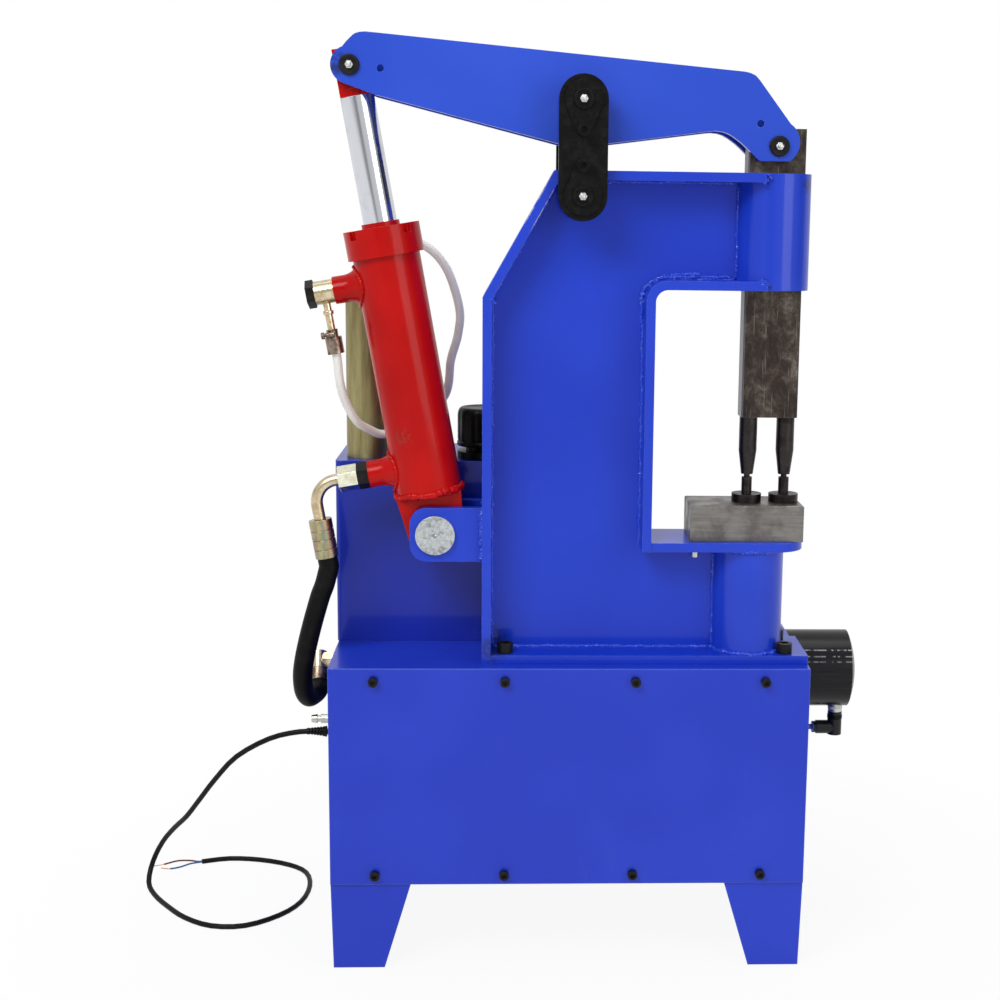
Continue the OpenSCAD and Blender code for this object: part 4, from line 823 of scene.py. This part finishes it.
def cylinder_welds():
    """Beads at the ports and round the cylinder's foot, and under the rod's eye."""
    runs = []
    for up in port_heights:
        ring = []
        for a in angles(48, True):
            y, z = 26 * math.sin(a), 26 * math.cos(a)
            ring.append(on_cylinder(math.sqrt((barrel_r + 0.6) ** 2 - y * y), up + z, y))
        runs.append(ring)
    weld("port_beads", runs, 2.4, red, "cylinder", 33)
    flare = [(27.5, 33.0), (26.0, 41.0), (23.4, 45.0), (20.6, 49.0), (18.8, 54.0), (17.8, 60.0),
             (16.0, 61.5)]
    turned("port_fillets", [(on_cylinder(0, up), across, flare) for up in port_heights], red,
           "cylinder")
    foot_r, foot_up = barrel_r - 0.6, 54.5
    foot = [on_cylinder(foot_r * math.cos(a), foot_up + 1.2 * math.sin(5 * a),
                        foot_r * math.sin(a)) for a in angles(90, True)]
    weld("foot_bead", [foot], 4.6, red, "cylinder", 35)
    sides = [[on_cylinder(out, 50.4, side) for out in (36, -36)] for side in (-24.4, 24.4)]
    weld("foot_seams", sides, 3.4, red, "cylinder", 36)
    axis_len = math.hypot(rod_pin[0] - cylinder_pin[0], rod_pin[1] - cylinder_pin[1])
    collar = [on_cylinder(20.4 * math.cos(a), axis_len - 30.5 + 3.5 * math.sin(a) ** 2,
                          19.6 * math.sin(a)) for a in angles(60, True)]
    weld("rod_eye_bead", [collar], 2.0, red, "rod", 37)


frame_welds()
cylinder_welds()

# ------------------------------------------------------------------ small fittings

# Each body's pins, and how far behind the cover their near ends stand
pin_ends = (("link", (frame_pin, fulcrum), -5), ("lever", (ram_pin, rod_pin), 41))


def on_pins(pins, y, profile):
    """The same turning on the near end of each pin."""
    return [(at(p[0], y, p[1]), (0, -1, 0), profile) for p in pins]


def nipples():
    """Silver grease nipples in the ends of the four pins, each on a small hexagon."""
    profile = [(2.6, 1.8), (2.9, 3.6), (2.4, 5.0), (3.1, 6.2), (3.1, 7.2), (2.2, 8.2), (0.8, 8.6)]
    hexagon = [(4.6, -0.5), (5.3, 0.0), (5.3, 2.4), (4.6, 2.9)]
    silver = steel("nipple_zinc", "galvanised", (0.80, 0.80, 0.78), (0.64, 0.64, 0.62), 0.22)
    for body, pins, y in pin_ends:
        turned(body + "_nipples", on_pins(pins, y, profile), silver, body, 24)
        turned(body + "_nipple_hexagons", on_pins(pins, y, hexagon), silver, body, 6)


def pin_rings():
    """Turned collars and grooves on the pins' ends."""
    profile = [(12.6, -0.2), (12.8, 0.5), (12.0, 1.1), (9.0, 1.1), (8.4, 0.5), (6.4, 0.4),
               (6.0, 1.2), (5.4, 1.5)]
    for body, pins, y in pin_ends:
        turned(body + "_pin_rings", on_pins(pins, y, profile),
               greasy if body == "link" else oxide, body)


def release_ring():
    """Blue push ring of the air elbow, the elbow's collar and the tape on its thread."""
    ring = [(4.4, -2.6), (9.0, -2.4), (9.2, -1.8), (8.9, -1.0), (7.6, -0.8), (7.2, 2.2),
            (8.4, 2.6), (8.4, 4.4), (7.8, 4.9), (4.4, 4.9)]
    turned("release_ring", [(at(372, 230, 268), (-1, 0, 0), ring)],
           plastic("ring_blue", "blue_tube", (0.02, 0.06, 0.44), 0.28), "base", 40)
    lug = [(9.6, -2.0), (10.9, -1.6), (11.1, 0.0), (11.1, 4.0), (10.6, 5.0), (9.6, 5.4)]
    turned("elbow_collar", [(at(*elbow_axis, 283), (0, 0, 1), lug)], cap_black, "base", 40)
    tape = [(9.9, -1.0), (10.8, -0.4), (10.4, 1.0), (10.9, 2.2), (10.5, 3.4), (9.9, 3.8)]
    turned("thread_tape", [(at(*elbow_axis, 297), (0, 0, 1), tape)],
           plastic("tape_white", "clear_hose", (0.72, 0.72, 0.70), 0.5), "base", 40)


def worm_clamp():
    """Band clamp on the banjo's stem with its screw, the stem's ring and the bolt's washer."""
    band = [(6.2, -6.2), (7.6, -6.0), (7.8, -5.0), (7.3, -4.4), (7.3, 4.4), (7.8, 5.0),
            (7.6, 6.0), (6.2, 6.2)]
    place = on_cylinder(stem_out, 280.5)
    turned("worm_clamp", [(place, down, band)], brown_zinc, "cylinder", 40)
    screw_place = place + across.normalized() * 4 * mm + Vector((0, -10.2, 0)) * mm
    screw = [(3.0, -8.0), (3.6, -7.6), (3.6, 4.0), (2.2, 4.2), (2.2, 5.4), (4.4, 5.6), (4.6, 9.2),
             (4.0, 9.8), (1.2, 9.8), (1.0, 8.8)]
    turned("clamp_screw", [(screw_place, across, screw)], brown_zinc, "cylinder", 24)
    ring = [(4.0, -3.0), (6.6, -2.6), (7.0, -1.6), (7.0, 1.6), (6.6, 2.6), (4.0, 3.0)]
    turned("stem_ring", [(on_cylinder(stem_out, 309), down, ring)], gold, "cylinder", 40)
    washer = [(10.0, -1.2), (15.4, -1.0), (15.6, 0.0), (15.4, 1.0), (10.0, 1.2)]
    turned("bolt_washer", [(on_cylinder(100.6, port_heights[1]), across, washer)], oxide,
           "cylinder", 40)


def filler_cap():
    """Ribbed black cap with a skirt ring and a domed top edge: (radius, rib's depth, height)."""
    outline = ((30, 0, 692.4), (37.6, 0, 692.4), (38.4, 0, 693.4), (38.4, 0, 697.4),
               (37.8, 0, 698.4), (36.8, 0, 698.8), (37.4, 0.8, 700.6), (37.8, 1.0, 703),
               (37.8, 1.0, 736), (37.2, 0.8, 740), (35.6, 0.3, 743.4), (32.8, 0, 745.6),
               (29.8, 0, 746.0), (28.4, 0, 745.2), (3.0, 0, 745.2))
    ribs, points_per_rib = 14, 10
    bm = bmesh.new()
    rings = []
    for radius, depth, z in outline:
        ring = []
        for a in angles(ribs * points_per_rib):
            r = radius - depth * max(0.0, math.cos(a * ribs)) ** 0.6
            place = at(cap_axis[0] + r * math.cos(a), cap_axis[1] + r * math.sin(a), z)
            ring.append(bm.verts.new(place))
        rings.append(ring)
    skin(bm, rings)
    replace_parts(make("ribbed_cap", bm, cap_black, "cap", 50), "filler_cap")


nipples()
pin_rings()
release_ring()
worm_clamp()
filler_cap()

# ------------------------------------------------------------------ room

def pale_floor():
    """A white floor that shows the object's shadow softly and fades into the background."""
    bpy.ops.mesh.primitive_plane_add(size=40, location=(0, 0, 0))
    floor = bpy.context.object
    floor.name = "floor"
    f = Finish("pale_floor", "", 0.6, gloss=0.1)
    tone = f.cloud(900, 2).between(0.3, 0.7)
    f.set(Base_Color=f.mix(tone, (0.80, 0.80, 0.80), (0.82, 0.82, 0.82)))
    path = f.add("ShaderNodeLightPath", out="Is Camera Ray")
    glossy = f.add("ShaderNodeLightPath", out="Is Glossy Ray")
    clear = f.add("ShaderNodeLightPath", out="Is Transmission Ray")
    glow = f.add("ShaderNodeEmission", {}, {"Color": (1, 1, 1), "Strength": 1.0})
    reach = f.add("ShaderNodeVectorMath", {"operation": "LENGTH"}, {0: f.place}, out="Value")
    seen = (path + glossy + clear) * reach.between(0.36, 1.1, 0.92, 1.0)
    both = f.add("ShaderNodeMixShader", {}, {0: seen, 1: Wire(f, f.surface.outputs[0]), 2: glow})
    f.tree.links.new(both.socket, f.tree.nodes["Material Output"].inputs["Surface"])
    floor.data.materials.append(f.material)


def studio_sky():
    """A sky that is white to the eye, soft as a light, and a studio's walls in reflections."""
    day = 0.38
    wall_tones = ((0.0, 0.72), (0.165, 0.66), (0.195, 0.34), (0.225, 0.36), (0.245, 0.72),
                  (0.335, 0.80), (0.375, 0.42), (0.44, 0.50), (0.475, 0.05), (0.53, 0.06),
                  (0.56, 0.92), (1.0, 0.72))
    world = bpy.data.worlds.new("studio")
    bpy.context.scene.world = world
    world.use_nodes = True
    sky = Wiring(world.node_tree)
    path = sky.add("ShaderNodeLightPath", out="Is Camera Ray")
    clear = sky.add("ShaderNodeLightPath", out="Is Transmission Ray")
    glossy = sky.add("ShaderNodeLightPath", out="Is Glossy Ray")
    ahead = sky.add("ShaderNodeTexCoord", out="Generated")
    around = sky.add("ShaderNodeTexGradient", {"gradient_type": "RADIAL"}, {0: ahead}, out="Fac")
    greys = sky.stops(around, *((place, (tone, tone, tone)) for place, tone in wall_tones))
    walls = sky.add("ShaderNodeRGBToBW", {}, {0: greys})
    seen = sky.add("ShaderNodeMath", {"operation": "MAXIMUM"}, {0: path, 1: clear})
    background = sky.tree.nodes["Background"]
    sky.plug(background.inputs["Strength"], day + (1 - day) * seen + (walls - day) * glossy)
    background.inputs["Color"].default_value = (1, 1, 1, 1)


def lamps():
    """Plain studio lamps: (name, place, aim, size, power)."""
    for name, place, aim, size, power in (
            ("key", (-1.5, -2.2, 3.0), (0, 0, 0.6), (1.8, 1.4), 72),
            ("fill", (2.2, -2.6, 1.6), (0, 0, 0.6), (1.8, 1.8), 30),
            ("top", (0.2, 0.3, 3.2), (0, 0, 0.5), (2.2, 1.4), 26)):
        lamp = bpy.data.lights.new(name, "AREA")
        lamp.shape = "RECTANGLE"
        lamp.size, lamp.size_y = size
        lamp.energy = power
        holder = bpy.data.objects.new(name, lamp)
        holder.location = place
        facing = Vector(aim) - Vector(place)
        holder.rotation_euler = facing.to_track_quat("-Z", "Y").to_euler()
        bpy.context.collection.objects.link(holder)


pale_floor()
studio_sky()
lamps()
bpy.context.scene.view_settings.view_transform = "Standard"
